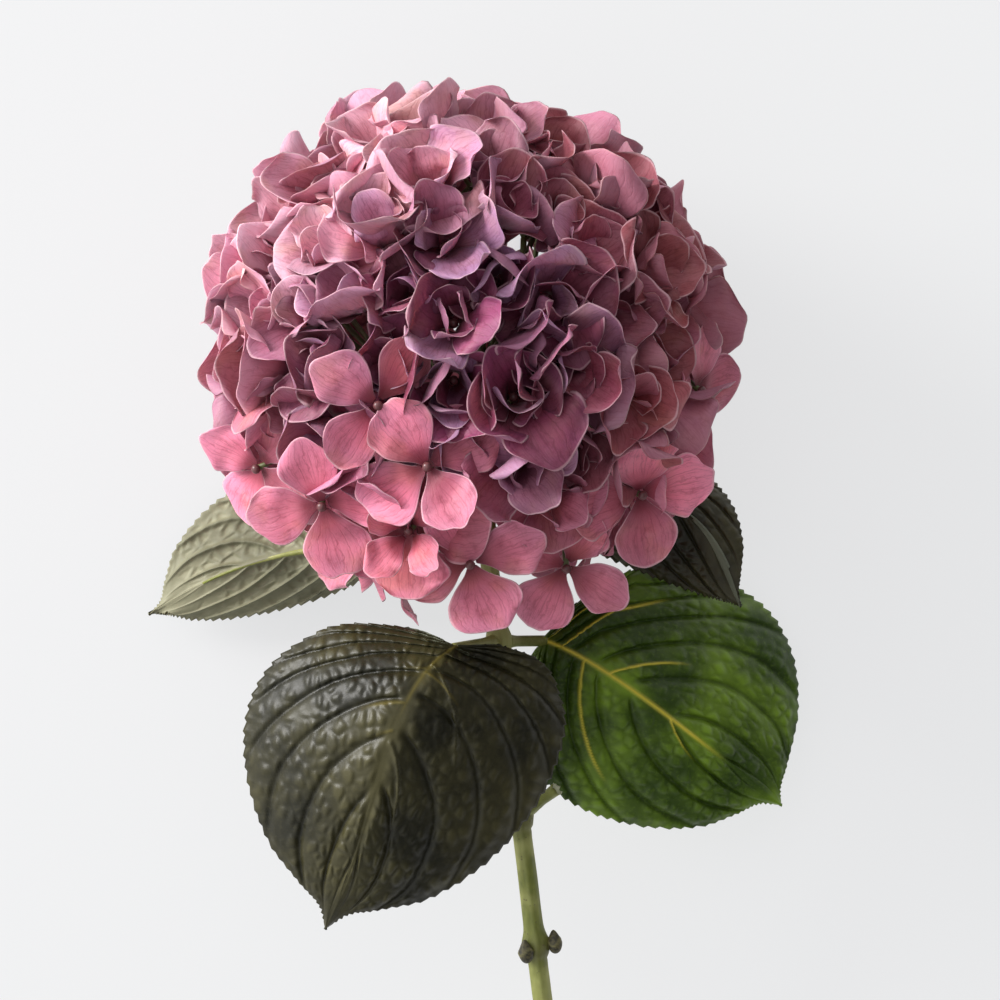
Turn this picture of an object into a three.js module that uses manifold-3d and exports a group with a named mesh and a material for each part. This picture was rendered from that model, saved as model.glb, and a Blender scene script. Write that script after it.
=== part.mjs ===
// A cut hydrangea: one woody-green stem with two pairs of leaves, lying on its side,
// and a ball-shaped flower head made of small cymes, each of three four-lobed florets.
// Millimetres. +Z is up from the surface it lies on and +Y points from the cut end to the head.
// While it is put together the middle of the head is above the origin; the last lines move the
// origin to the middle of the space the whole flower fills, on the surface.

import * as THREE from "three";
import { mergeVertices } from "three/addons/utils/BufferGeometryUtils.js";
import Module from "manifold-3d";

const wasm = await Module();
wasm.setup();

// ---- Driving dimensions ----------------------------------------------------------------

const headRadius = 84; // middle of the head to its outermost sepal tips
const headRest = 74; // middle of the head above the surface it has settled on
const stemLength = 400; // cut end to crown of the head, along Y
const crownInset = 3; // the crown's sepal tips end this far inside the head radius
const stemRadiusLow = 3.4;
const stemRadiusHigh = 2.7;
const cutEndGap = 0.2; // between the cut end and the surface
const stemLean = 0.122; // sideways run of the stem for each millimetre of its length
const leafThickness = 1.2;
const petioleRadius = 1.9;
const clearance = 0.3; // between pieces that meet

const cymeCount = 46;
const floretsPerCyme = 3;
const floretSpread = 0.168; // radians between a cyme's own axis and each of its florets
const sepalDepth = 13; // a floret's seat below the outside of the head
const cupDepth = 6; // a floret's base below its seat
const cupWidth = 17; // a sepal tip's distance from its floret's axis
const notchWidth = 10.5; // a gap between sepals, from the same axis
const cupRise = 10; // sepal tips above the floret's seat
const notchRise = 5;
const sepalThickness = 0.9;
const pedicelRadius = 0.7;
const knotRadius = 2.6; // the small swelling where a cyme forks
const forkDepth = 33; // a cyme's fork below the outside of the head

const openingHalfAngle = 0.72; // the side of the head round the stem that bears no florets
const openingTilt = 0.32; // that side leans towards the surface
const hubInset = 33; // the top of the stem inside the edge of the head
const hubSink = 2; // and below its middle
const hubRadius = 3.4; // the swelling on top of the stem that the rays grow from
const rayRadius = 1.5;
const rayTaper = 0.8; // a ray's radius where it forks, as a share of its radius at the stem
const rayKnot = 1.6; // radius of the swelling at that fork, in ray radii
const twigRadius = 0.8;
const cymesPerRay = 6;
const rayShare = 0.5; // how far along the way to its cymes a ray forks

const upperNodeDrop = 9; // top of the stem to each node, down the stem
const middleNodeDrop = 42;
const stubNodeDrop = 100;
const budNodeDrop = 143;
const nodeSwell = 1.45; // stem radius at a node, as a share of the plain stem
const nodeReach = 7; // length of the swelling each way

// ---- Frame of the stem and head --------------------------------------------------------

const vec = (x, y, z) => new THREE.Vector3(x, y, z);
const headCentre = vec(0, 0, headRest);
const hubDrop = headRadius - hubInset;
const stemTop = vec(stemLean * hubDrop, -hubDrop, headRest - hubSink);
const cutEndY = headRadius - crownInset - stemLength;
const cutEndX = stemTop.x + stemLean * (stemTop.y - cutEndY);
const cutEnd = vec(cutEndX, cutEndY, stemRadiusLow + cutEndGap);
const stemRun = cutEnd.clone().sub(stemTop);
const stemAxis = stemRun.clone().normalize();

// A point on the middle line of the stem, a given way down from its top.
function stemPoint(drop) {
  return stemTop.clone().addScaledVector(stemAxis, drop);
}

function stemRadiusAt(drop) {
  const plain = THREE.MathUtils.lerp(stemRadiusHigh, stemRadiusLow, drop / stemRun.length());
  let swell = 0;
  for (const node of [upperNodeDrop, middleNodeDrop, stubNodeDrop, budNodeDrop]) {
    swell += Math.exp(-(((drop - node) / (nodeReach / 2)) ** 2));
  }
  return plain * (1 + (nodeSwell - 1) * swell);
}

// ---- Helpers that turn basic shapes into solids ------------------------------------------

const materials = {
  sepal: new THREE.MeshStandardMaterial({ color: 0xb0627a, roughness: 0.7, metalness: 0 }),
  stem: new THREE.MeshStandardMaterial({ color: 0x8d9a4a, roughness: 0.6, metalness: 0 }),
  branch: new THREE.MeshStandardMaterial({ color: 0xa3b25e, roughness: 0.6, metalness: 0 }),
  leaf_dark: new THREE.MeshStandardMaterial({ color: 0x3a423a, roughness: 0.5, metalness: 0 }),
  leaf_green: new THREE.MeshStandardMaterial({ color: 0x2f6b1c, roughness: 0.45, metalness: 0 }),
  leaf_pale: new THREE.MeshStandardMaterial({ color: 0x9aa58c, roughness: 0.7, metalness: 0 }),
  bud: new THREE.MeshStandardMaterial({ color: 0x2c2418, roughness: 0.6, metalness: 0 }),
};

const flower = new THREE.Group();

function addPiece(name, geometry, material) {
  const mesh = new THREE.Mesh(geometry, material.clone());
  mesh.name = name;
  flower.add(mesh);
}

// One closed mesh from a geometry: shared corners joined, empty triangles left out.
function joined(geometry) {
  const bare = geometry.clone();
  bare.deleteAttribute("normal");
  bare.deleteAttribute("uv");
  const merged = mergeVertices(bare, 1e-3);
  const old = merged.getIndex().array;
  const kept = [];
  for (let i = 0; i < old.length; i += 3) {
    const [a, b, c] = [old[i], old[i + 1], old[i + 2]];
    if (a !== b && b !== c && c !== a) kept.push(a, b, c);
  }
  merged.setIndex(kept);
  return merged;
}

// The same geometry with each corner put where place says.
function shaped(geometry, place) {
  const result = geometry.clone();
  const corners = result.getAttribute("position");
  for (let i = 0; i < corners.count; i += 1) {
    const moved = place(vec(corners.getX(i), corners.getY(i), corners.getZ(i)));
    corners.setXYZ(i, moved.x, moved.y, moved.z);
  }
  return joined(result);
}

function solid(geometry) {
  const body = new wasm.Manifold(
    new wasm.Mesh({
      numProp: 3,
      vertProperties: new Float32Array(geometry.getAttribute("position").array),
      triVerts: new Uint32Array(geometry.getIndex().array),
    }),
  );
  return body;
}

// All of the given closed geometries joined into one.
function union(geometries) {
  let body = solid(geometries[0]);
  for (const other of geometries.slice(1)) {
    body = body.add(solid(other));
  }
  const mesh = body.getMesh();
  const result = new THREE.BufferGeometry();
  result.setAttribute("position", new THREE.BufferAttribute(mesh.vertProperties, 3));
  result.setIndex(new THREE.BufferAttribute(mesh.triVerts, 1));
  return result;
}

// Two directions square to the given one and to each other.
function frameAlong(direction) {
  const helper = Math.abs(direction.z) < 0.9 ? vec(0, 0, 1) : vec(1, 0, 0);
  const first = new THREE.Vector3().crossVectors(helper, direction).normalize();
  const second = new THREE.Vector3().crossVectors(direction, first).normalize();
  return [first, second];
}

// The point a given distance from one point on the way to another.
function towards(from, to, distance) {
  return from.clone().addScaledVector(to.clone().sub(from).normalize(), distance);
}

// A straight stalk between two points, with a radius at each end.
function stalk(start, end, startRadius, endRadius, sides) {
  const direction = end.clone().sub(start);
  const middle = start.clone().addScaledVector(direction, 0.5);
  const tube = new THREE.CylinderGeometry(endRadius, startRadius, direction.length(), sides);
  const turn = new THREE.Quaternion().setFromUnitVectors(vec(0, 1, 0), direction.normalize());
  return shaped(tube, (p) => p.applyQuaternion(turn).add(middle));
}

// A small swelling that several stalks grow from; they start this far from its middle.
const knotInset = 0.5;

function knot(point, radius) {
  return shaped(new THREE.TetrahedronGeometry(radius), (p) => p.add(point));
}

// ---- Stem --------------------------------------------------------------------------------

const stemSides = 10;
const stemSteps = 34;
const cutSlant = 0.5; // the cut face leans back this much for each millimetre across it

function stemGeometry() {
  const start = hubRadius + clearance;
  const length = stemRun.length() - start;
  const [across, upward] = frameAlong(stemAxis);
  const rod = new THREE.CylinderGeometry(1, 1, 1, stemSides, stemSteps);
  return shaped(rod, (p) => {
    const share = 0.5 - p.y;
    const drop = start + share * length;
    const radius = stemRadiusAt(drop);
    const slant = share > 0.999 ? -cutSlant * radius * p.x : 0;
    return stemPoint(drop + slant)
      .addScaledVector(across, p.x * radius)
      .addScaledVector(upward, p.z * radius);
  });
}

addPiece("stem", stemGeometry(), materials.stem);

// ---- Leaves --------------------------------------------------------------------------------

// Half of the edge of a broad oval leaf with a heart-shaped base and a drawn-out tip:
// x is a share of the half width and y a share of the length.
const leafEdge = new THREE.CatmullRomCurve3([
  vec(0, 0, 0),
  vec(0.32, -0.06, 0),
  vec(0.68, -0.04, 0),
  vec(0.93, 0.13, 0),
  vec(1.0, 0.38, 0),
  vec(0.88, 0.61, 0),
  vec(0.6, 0.8, 0),
  vec(0.3, 0.89, 0),
  vec(0.11, 0.935, 0),
  vec(0, 1, 0),
]);
const leafRows = 9;
const leafColumns = 8;
const veinSweep = 1.2; // side veins meet the edge further along than they leave the midrib
const petioleRow = 0.08; // the stalk ends inside the blade at this share of its rows
const petioleTaper = 0.7;
const petioleSides = 6;

// A point of a leaf, placed from the edge of the head so that a larger head keeps clear of it.
function beside(x, gap, z) {
  return vec(x, -(headRadius + gap), z);
}

// Each leaf: where its stalk leaves the stem, the four points that steer its midrib from the
// top of the stalk to the tip, and the way its face looks at the base and at the tip. Each of
// its two sides has a width, a straight fall from the midrib and a rounder droop; fullness
// below 1 carries its widest place towards the tip, and skew carries its base lobe forwards.
const leafList = [
  {
    name: "leaf_front",
    material: materials.leaf_dark,
    drop: middleNodeDrop,
    midrib: [beside(-2, 9, 86), beside(-25, 21, 104), beside(-25, 62, 98), beside(-43, 98, 66)],
    faces: [vec(-0.1, 0.1, 1), vec(-0.1, -0.35, 1)],
    sides: [
      { width: 50.5, fall: 0.28, droop: 0.25, fullness: 0.85, skew: 0.25 },
      { width: 45, fall: 0.4, droop: 0.25, fullness: 1.05, skew: -0.02 },
    ],
  },
  {
    name: "leaf_side",
    material: materials.leaf_green,
    drop: middleNodeDrop + 1.5,
    midrib: [beside(25, 8, 53), beside(44, 14, 55), beside(74, 40, 44), beside(102, 62, 20)],
    faces: [vec(0, 0.1, 1), vec(0.2, -0.1, 1)],
    sides: [
      { width: 38, fall: 0.1, droop: 0.3, fullness: 1, skew: 0.2 },
      { width: 49, fall: 0.42, droop: 0.3, fullness: 0.62, skew: 0.28 },
    ],
  },
  {
    name: "leaf_upper_left",
    material: materials.leaf_pale,
    drop: upperNodeDrop,
    midrib: [beside(-32, -20, 30), beside(-52, -22, 23), beside(-76, -16, 18), beside(-102, 1, 9)],
    faces: [vec(0, 0.1, 1), vec(-0.1, 0, 1)],
    sides: [
      { width: 32, fall: 0.15, droop: 0.1, fullness: 0.9, skew: 0 },
      { width: 11, fall: 0.5, droop: 0.4, fullness: 0.9, skew: 0 },
    ],
  },
  {
    name: "leaf_upper_right",
    material: materials.leaf_dark,
    drop: upperNodeDrop + 1,
    midrib: [beside(30, -28, 36), beside(48, -42, 31), beside(78, -44, 34), beside(88, -2, 38)],
    faces: [vec(0, 0.1, 1), vec(0, 0, 1)],
    sides: [
      { width: 3, fall: 1, droop: 0.5, fullness: 0.9, skew: 0 },
      { width: 34, fall: 0.2, droop: 0.25, fullness: 0.5, skew: 0.05 },
    ],
  },
];

// A leaf's frame at a share of its length: a point on the line from base to tip, arched as the
// midrib is, with the sideways bow of the midrib kept apart from it.
function leafFrame(leaf, along) {
  const curve = new THREE.CubicBezierCurve3(...leaf.midrib);
  const [base, , , tip] = leaf.midrib;
  const chord = tip.clone().sub(base);
  const held = THREE.MathUtils.clamp(along, 0, 1);
  const face = leaf.faces[0].clone().lerp(leaf.faces[1], held);
  const side = new THREE.Vector3().crossVectors(face, chord).normalize();
  const normal = new THREE.Vector3().crossVectors(chord, side).normalize();
  const rib = curve.getPoint(held);
  const bow = rib.clone().sub(base).dot(side);
  const point = rib.addScaledVector(side, -bow).addScaledVector(chord, along - held);
  return { point, side, normal, bow };
}

// A point of the blade: rows run from base (0) to tip (1), columns from edge (-1) to edge (1).
function bladePoint(leaf, row, column, under) {
  const edge = leafEdge.getPoint(row);
  const reach = Math.abs(column);
  const form = leaf.sides[column < 0 ? 0 : 1];
  const forward = edge.y > 0 ? edge.y ** form.fullness : edge.y;
  const skewed = forward + form.skew * edge.x * (1 - forward) ** 2;
  const along = THREE.MathUtils.lerp(row ** veinSweep, skewed, reach);
  const across = reach * edge.x * form.width;
  const { point, side, normal, bow } = leafFrame(leaf, along);
  const fallen = form.fall * across + (form.droop * across * across) / form.width;
  return point
    .addScaledVector(side, Math.sign(column) * across + bow * (1 - reach))
    .addScaledVector(normal, under ? -leafThickness : 0)
    .addScaledVector(vec(0, 0, 1), -fallen);
}

function leafGeometry(leaf) {
  const sheet = new THREE.BoxGeometry(2, 1, 1, leafColumns, leafRows, 1);
  const blade = shaped(sheet, (p) => bladePoint(leaf, 0.5 - p.y, p.x, p.z < 0));
  const root = stemPoint(leaf.drop);
  const seat = leaf.midrib[0].clone();
  const outward = seat.clone().sub(root);
  outward.addScaledVector(stemAxis, -outward.dot(stemAxis)).normalize();
  const start = root.addScaledVector(outward, stemRadiusAt(leaf.drop) + petioleRadius + clearance);
  const below = bladePoint(leaf, petioleRow, 0, true);
  const end = bladePoint(leaf, petioleRow, 0, false).lerp(below, 0.5);
  const petiole = stalk(start, end, petioleRadius, petioleRadius * petioleTaper, petioleSides);
  return union([blade, petiole]);
}

for (const leaf of leafList) {
  addPiece(leaf.name, leafGeometry(leaf), leaf.material);
}

// ---- Stub of a lost leaf, and two side buds -------------------------------------------------

const stubLength = 9;
const stubRadius = 1.7;
const stubFlare = 1.15; // its torn end is this much wider than its root
const stubRise = 0.8; // how far it rises off the stem for each millimetre of its length
const stubSides = 8;
const budRadius = 2.3;
const budLength = 7.5;
const budTaper = 0.35;
const budSides = 8;
const budRings = 6;

function stubGeometry() {
  const outward = vec(0.75, 0.55, 0.35).normalize();
  const start = stemPoint(stubNodeDrop).addScaledVector(
    outward,
    (stemRadiusAt(stubNodeDrop) + stubRadius + clearance) / stubRise,
  );
  const end = start.clone().addScaledVector(outward, stubLength);
  return stalk(start, end, stubRadius, stubRadius * stubFlare, stubSides);
}

// A bud is a pointed egg that sits against the stem.
function budGeometry(outward, drop) {
  const direction = outward.clone().addScaledVector(stemAxis, -outward.dot(stemAxis)).normalize();
  const away = stemRadiusAt(drop) + budRadius + clearance;
  const middle = stemPoint(drop).addScaledVector(direction, away);
  const growth = stemAxis.clone().negate();
  const [first, second] = frameAlong(growth);
  const egg = new THREE.SphereGeometry(1, budSides, budRings);
  return shaped(egg, (p) => {
    const slim = 1 - budTaper * Math.max(p.y, 0);
    return middle
      .clone()
      .addScaledVector(second, p.x * budRadius * slim)
      .addScaledVector(first, p.z * budRadius * slim)
      .addScaledVector(growth, (p.y * budLength) / 2);
  });
}

addPiece("petiole_stub", stubGeometry(), materials.stem);
addPiece("bud_right", budGeometry(vec(1, 0, 0.2), budNodeDrop), materials.bud);
addPiece("bud_front", budGeometry(vec(-0.75, 0, 1), budNodeDrop + 1), materials.bud);

// ---- Where the florets sit -------------------------------------------------------------------

const goldenAngle = Math.PI * (3 - Math.sqrt(5));
const opening = vec(0, -Math.cos(openingTilt), -Math.sin(openingTilt));
const crown = opening.clone().negate();
const spiralStart = 2.1; // radians; turns the whole spiral of cymes about the crown

// Cymes follow a spiral from the crown of the head to the edge of its open side.
function cymeDirection(index) {
  const share = (index + 0.5) / cymeCount;
  const height = 1 - share * (1 + Math.cos(openingHalfAngle));
  const turn = spiralStart + index * goldenAngle;
  const [first, second] = frameAlong(crown);
  const reach = Math.sqrt(1 - height * height);
  return crown
    .clone()
    .multiplyScalar(height)
    .addScaledVector(first, reach * Math.cos(turn))
    .addScaledVector(second, reach * Math.sin(turn));
}

function floretDirection(axis, cyme, floret) {
  const [first, second] = frameAlong(axis);
  const turn = cyme * goldenAngle + (floret * 2 * Math.PI) / floretsPerCyme;
  return axis
    .clone()
    .addScaledVector(first, Math.tan(floretSpread) * Math.cos(turn))
    .addScaledVector(second, Math.tan(floretSpread) * Math.sin(turn))
    .normalize();
}

// Florets on the same head jostle until each has about the same room.
const jostleRounds = 30;
const jostleStep = 0.15;

function spreadOut(directions) {
  const room = Math.sqrt((4 * Math.PI) / directions.length);
  for (let round = 0; round < jostleRounds; round += 1) {
    const pushes = directions.map((own) => {
      const push = vec(0, 0, 0);
      for (const other of directions) {
        const apart = own.clone().sub(other);
        const distance = apart.length();
        if (distance > 0 && distance < room) {
          push.addScaledVector(apart, (room - distance) / distance);
        }
      }
      return push;
    });
    directions.forEach((own, i) => {
      own.addScaledVector(pushes[i], jostleStep).normalize();
      const excess = own.dot(opening) - Math.cos(openingHalfAngle - floretSpread);
      if (excess > 0) own.addScaledVector(opening, -excess).normalize();
    });
  }
  return directions;
}

const cymeAxes = Array.from({ length: cymeCount }, (_, i) => cymeDirection(i));
const floretDirections = spreadOut(
  cymeAxes.flatMap((axis, i) => [0, 1, 2].map((j) => floretDirection(axis, i, j))),
);
const seats = floretDirections.map((direction) =>
  headCentre.clone().addScaledVector(direction, headRadius - sepalDepth),
);

// ---- Florets, each kept inside its own room ----------------------------------------------------

// Flat walls round each seat: halfway to each neighbour, and just short of stem and leaves.
const neighbourReach = 60;
const obstacleGap = 1.6;
const leafWallRows = 36; // how closely the leaves and stalks are followed
const leafWallColumns = 16;
const stalkWallSteps = 10;
const stemWallStart = 4;
const stemWallStep = 3;

function obstaclePoints() {
  const points = [];
  for (const leaf of leafList) {
    for (let row = 0; row <= leafWallRows; row += 1) {
      for (let column = 0; column <= leafWallColumns; column += 1) {
        const across = (2 * column) / leafWallColumns - 1;
        points.push(bladePoint(leaf, row / leafWallRows, across, false));
      }
    }
    const root = stemPoint(leaf.drop);
    for (let step = 0; step <= stalkWallSteps; step += 1) {
      points.push(root.clone().lerp(leaf.midrib[0], step / stalkWallSteps));
    }
  }
  for (let drop = stemWallStart; drop < middleNodeDrop * 2; drop += stemWallStep) {
    points.push(stemPoint(drop));
  }
  return points;
}

const obstacles = obstaclePoints();

function wallsRound(seat) {
  const walls = [];
  for (const other of seats) {
    const way = other.clone().sub(seat);
    const distance = way.length();
    if (distance > 0 && distance < neighbourReach) {
      walls.push({ way: way.divideScalar(distance), limit: (distance - clearance) / 2 });
    }
  }
  for (const point of obstacles) {
    const way = point.clone().sub(seat);
    const distance = way.length();
    if (distance < neighbourReach) {
      const limit = distance - petioleRadius - obstacleGap;
      walls.push({ way: way.divideScalar(distance), limit });
    }
  }
  return walls;
}

// A corner outside the room is drawn back towards the seat until it is in.
function keptIn(corner, seat, walls) {
  const way = corner.clone().sub(seat);
  let share = 1;
  for (const wall of walls) {
    const reach = way.dot(wall.way);
    if (reach > wall.limit) share = Math.min(share, wall.limit / reach);
  }
  return seat.clone().addScaledVector(way, share);
}

// The way a floret faces: outwards, and round the open side not far back along the stem.
const backwardLean = 0.35;

function floretFace(direction) {
  const y = direction.y < 0 ? direction.y * backwardLean : direction.y;
  return vec(direction.x, y, direction.z).normalize();
}

const sepalCount = 4;
const cupCorners = sepalCount * 2;
const cupFloor = 1.6; // thickness of a cup's bottom, in sepal thicknesses
const surfaceGap = 0.5; // a floret's lowest outer corners above the surface

function forkPoint(cyme) {
  const middle = vec(0, 0, 0);
  for (let j = 0; j < floretsPerCyme; j += 1) {
    middle.add(floretDirections[cyme * floretsPerCyme + j]);
  }
  return headCentre.clone().addScaledVector(middle.normalize(), headRadius - forkDepth);
}

// One floret from its cup down its pedicel to the fork, in rings: the inside of the cup, its
// inner and outer edge with a corner at each sepal tip and each notch, and the square pedicel.
function floretGeometry(index, fork) {
  const seat = seats[index];
  const face = floretFace(floretDirections[index]);
  const walls = wallsRound(seat);
  const [first, second] = frameAlong(face);
  const roll = index * goldenAngle;
  const rings = new THREE.CylinderGeometry(1, 1, 1, cupCorners, 3);

  function besides(middle, width, angle) {
    return middle
      .clone()
      .addScaledVector(first, width * Math.cos(angle + roll))
      .addScaledVector(second, width * Math.sin(angle + roll));
  }

  function settled(corner, lowest) {
    if (corner.z < lowest) corner.z = lowest;
    return keptIn(corner, seat, walls);
  }

  return shaped(rings, (p) => {
    const atAxis = Math.hypot(p.x, p.z) < 0.5;
    const angle = Math.atan2(p.x, p.z);
    const eighth = Math.round((angle / Math.PI) * sepalCount);
    const tip = eighth % 2 === 0;
    const inner = p.y > 0.4;
    if (p.y > 0) {
      const rise = atAxis ? sepalThickness * cupFloor - cupDepth : tip ? cupRise : notchRise;
      const width = atAxis ? 0 : (tip ? cupWidth : notchWidth) - (inner ? sepalThickness : 0);
      const corner = besides(seat.clone().addScaledVector(face, rise), width, angle);
      return settled(corner, inner ? 0 : surfaceGap);
    }
    const square = (Math.floor(eighth / 2) / sepalCount) * 2 * Math.PI;
    const base = settled(seat.clone().addScaledVector(face, -cupDepth), surfaceGap);
    const root = towards(fork, base, knotInset);
    return besides(p.y < -0.4 ? root : base, atAxis ? 0 : pedicelRadius, square);
  });
}

function cymeGeometry(cyme) {
  const fork = forkPoint(cyme);
  const florets = Array.from({ length: floretsPerCyme }, (_, j) => cyme * floretsPerCyme + j);
  return union([knot(fork, knotRadius), ...florets.map((index) => floretGeometry(index, fork))]);
}

for (let cyme = 0; cyme < cymeCount; cyme += 1) {
  addPiece("cyme_" + String(cyme + 1).padStart(2, "0"), cymeGeometry(cyme), materials.sepal);
}

// ---- Branches inside the head -------------------------------------------------------------------

const raySides = 4;
const twigSides = 3;

// Rays leave the top of the stem and each forks into twigs, one for each of its cymes.
function branchGeometry() {
  const forks = cymeAxes.map((_, i) => forkPoint(i));
  const leads = forks.filter((_, i) => i % cymesPerRay === 0);
  const families = leads.map(() => []);
  for (const fork of forks) {
    const distances = leads.map((lead) => lead.distanceTo(fork));
    families[distances.indexOf(Math.min(...distances))].push(fork);
  }
  const pieces = [knot(stemTop, hubRadius)];
  for (const family of families) {
    const middle = vec(0, 0, 0);
    for (const fork of family) middle.addScaledVector(fork, 1 / family.length);
    const split = stemTop.clone().lerp(middle, rayShare);
    const start = towards(stemTop, split, knotInset);
    pieces.push(stalk(start, split, rayRadius, rayRadius * rayTaper, raySides));
    pieces.push(knot(split, rayRadius * rayKnot));
    for (const fork of family) {
      const end = towards(fork, split, knotRadius + clearance);
      const from = towards(split, end, knotInset);
      pieces.push(stalk(from, end, twigRadius, twigRadius, twigSides));
    }
  }
  return union(pieces);
}

addPiece("branches", branchGeometry(), materials.branch);

// ---- Origin -------------------------------------------------------------------------------------

const room = new THREE.Box3().setFromObject(flower);
const centre = room.getCenter(vec(0, 0, 0));
flower.position.set(-centre.x, -centre.y, -room.min.z);
flower.updateMatrixWorld(true);

export default flower;
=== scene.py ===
import math

import bmesh
import bpy
import numpy as np
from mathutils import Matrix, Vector, noise
from mathutils.bvhtree import BVHTree


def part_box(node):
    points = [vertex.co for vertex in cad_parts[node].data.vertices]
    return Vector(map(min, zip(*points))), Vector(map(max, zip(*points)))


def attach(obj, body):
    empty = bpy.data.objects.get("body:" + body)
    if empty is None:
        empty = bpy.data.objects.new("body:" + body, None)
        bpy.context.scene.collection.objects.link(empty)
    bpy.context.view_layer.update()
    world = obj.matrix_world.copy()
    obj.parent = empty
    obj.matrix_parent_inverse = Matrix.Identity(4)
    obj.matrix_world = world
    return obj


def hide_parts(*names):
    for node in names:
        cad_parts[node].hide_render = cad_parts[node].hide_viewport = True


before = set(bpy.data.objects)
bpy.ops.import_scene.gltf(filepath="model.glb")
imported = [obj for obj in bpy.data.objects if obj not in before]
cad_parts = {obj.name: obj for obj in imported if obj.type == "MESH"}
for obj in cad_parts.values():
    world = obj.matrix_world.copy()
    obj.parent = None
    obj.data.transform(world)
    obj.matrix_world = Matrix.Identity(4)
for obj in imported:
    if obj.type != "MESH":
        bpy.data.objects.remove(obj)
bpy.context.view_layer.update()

# ---- The surface, the light and the camera ----------------------------------------------
# The cut flower lies on a plain pale surface that glows faintly, like a light table. A big soft
# light stands to the left of the flower head, and the camera hangs over it, a little below the
# head, looking straight down.

HEAD = Vector((-0.00275, 0.12067, 0.074))  # middle of the flower head
VIEW_WIDTH = 0.310  # what the camera takes in at the height of the head
CAMERA_HEIGHT = 1.600  # above the middle of the head
CAMERA_OFFSET = Vector((0.01147, -0.04805, 0.0))
SENSOR = 36.0
SURFACE_SIZE = 6.0  # half of one side
SURFACE_DROP = 0.0004
SURFACE_COLOUR = (0.15, 0.151, 0.152)
SURFACE_GLOW = (0.985, 0.99, 1.0)
GLOW_STRENGTH = 0.69
WINDOW_PLACE = (-2.0, 1.1, 0.85)
WINDOW_WIDTH = 1.2
WINDOW_WATTS = 82.0
WINDOW_COLOUR = (1.0, 0.985, 0.965)
WINDOW_WAY = (-0.86, 0.42, 0.1)
WALL_COLOUR = (0.97, 0.985, 1.0, 1.0)
BRIGHT_SIDE = 1.3  # strength of the walls on the window's side
DIM_SIDE = 0.12
FADE_START = -0.85
FADE_END = 0.95


def plain_material(name, colour, roughness):
    material = bpy.data.materials.new(name)
    material.use_nodes = True
    shader = material.node_tree.nodes["Principled BSDF"]
    shader.inputs["Base Color"].default_value = (*colour, 1.0)
    shader.inputs["Roughness"].default_value = roughness
    return material


def add_object(name, mesh):
    item = bpy.data.objects.new(name, mesh)
    bpy.context.scene.collection.objects.link(item)
    return item


def aim(item, place, target):
    item.location = place
    item.rotation_euler = (Vector(target) - Vector(place)).to_track_quat("-Z", "Y").to_euler()


def soft_light(name, place, target, width, watts, colour):
    lamp = bpy.data.lights.new(name, "AREA")
    lamp.shape = "DISK"
    lamp.size = width
    lamp.energy = watts
    lamp.color = colour
    aim(add_object(name, lamp), place, target)


surface_bm = bmesh.new()
bmesh.ops.create_grid(surface_bm, x_segments=1, y_segments=1, size=SURFACE_SIZE)
surface_mesh = bpy.data.meshes.new("surface")
surface_bm.to_mesh(surface_mesh)
surface_bm.free()
light_table = plain_material("pale_surface", SURFACE_COLOUR, 0.9)
table_shader = light_table.node_tree.nodes["Principled BSDF"]
table_shader.inputs["Emission Color"].default_value = (*SURFACE_GLOW, 1.0)
table_shader.inputs["Emission Strength"].default_value = GLOW_STRENGTH
surface_mesh.materials.append(light_table)
surface = add_object("surface", surface_mesh)
surface.location.z = -SURFACE_DROP

camera = bpy.data.cameras.new("camera")
camera.sensor_width = SENSOR
camera.lens = SENSOR * CAMERA_HEIGHT / VIEW_WIDTH
camera_object = add_object("camera", camera)
camera_object.location = HEAD + CAMERA_OFFSET + Vector((0, 0, CAMERA_HEIGHT))
bpy.context.scene.camera = camera_object

soft_light("window", WINDOW_PLACE, HEAD, WINDOW_WIDTH, WINDOW_WATTS, WINDOW_COLOUR)

# The white walls of the studio: bright on the window's side and dim on the other.
world = bpy.data.worlds.new("studio")
world.use_nodes = True
walls = world.node_tree
way = walls.nodes.new("ShaderNodeTexCoord")
turned = walls.nodes.new("ShaderNodeVectorMath")
turned.operation = "DOT_PRODUCT"
turned.inputs[1].default_value = WINDOW_WAY
walls.links.new(way.outputs["Generated"], turned.inputs[0])
fade = walls.nodes.new("ShaderNodeMapRange")
fade.interpolation_type = "SMOOTHSTEP"
fade.inputs["From Min"].default_value = FADE_START
fade.inputs["From Max"].default_value = FADE_END
fade.inputs["To Min"].default_value = DIM_SIDE
fade.inputs["To Max"].default_value = BRIGHT_SIDE
walls.links.new(turned.outputs["Value"], fade.inputs["Value"])
walls.links.new(fade.outputs["Result"], walls.nodes["Background"].inputs["Strength"])
walls.nodes["Background"].inputs["Color"].default_value = WALL_COLOUR
bpy.context.scene.world = world
bpy.context.scene.view_settings.view_transform = "Standard"

# ---- Stem ------------------------------------------------------------------------------------
# A green, slightly woody shoot of one season. It thickens at every node, carries fine corky
# specks, and ends in a slanting knife cut that shows the pale pith.

MM = 0.001
stem_low, stem_high = (Vector(corner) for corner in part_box("stem"))
STEM_RADIUS_LOW = 3.4 * MM
STEM_RADIUS_HIGH = 2.7 * MM
STEM_TOP = HEAD + Vector((6.2, -51.0, -2.0)) * MM
CUT_END = Vector((stem_high.x - STEM_RADIUS_LOW, stem_low.y, STEM_RADIUS_LOW + 0.3 * MM))
STEM_AXIS = (CUT_END - STEM_TOP).normalized()
stem_length = (CUT_END - STEM_TOP).length
NODE_DROPS = [9 * MM, 42 * MM, 100 * MM, 143 * MM]  # from the top of the stem
NODE_SWELL = 0.45
NODE_REACH = 3.5 * MM
STEM_STEPS = 260
STEM_SIDES = 36
CUT_SLANT = 0.45
BARK_WIDTH = 0.7 * MM  # the rind seen on the cut
BARK_STEP = 0.15 * MM
WOOD_WIDTH = 0.8 * MM
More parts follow.
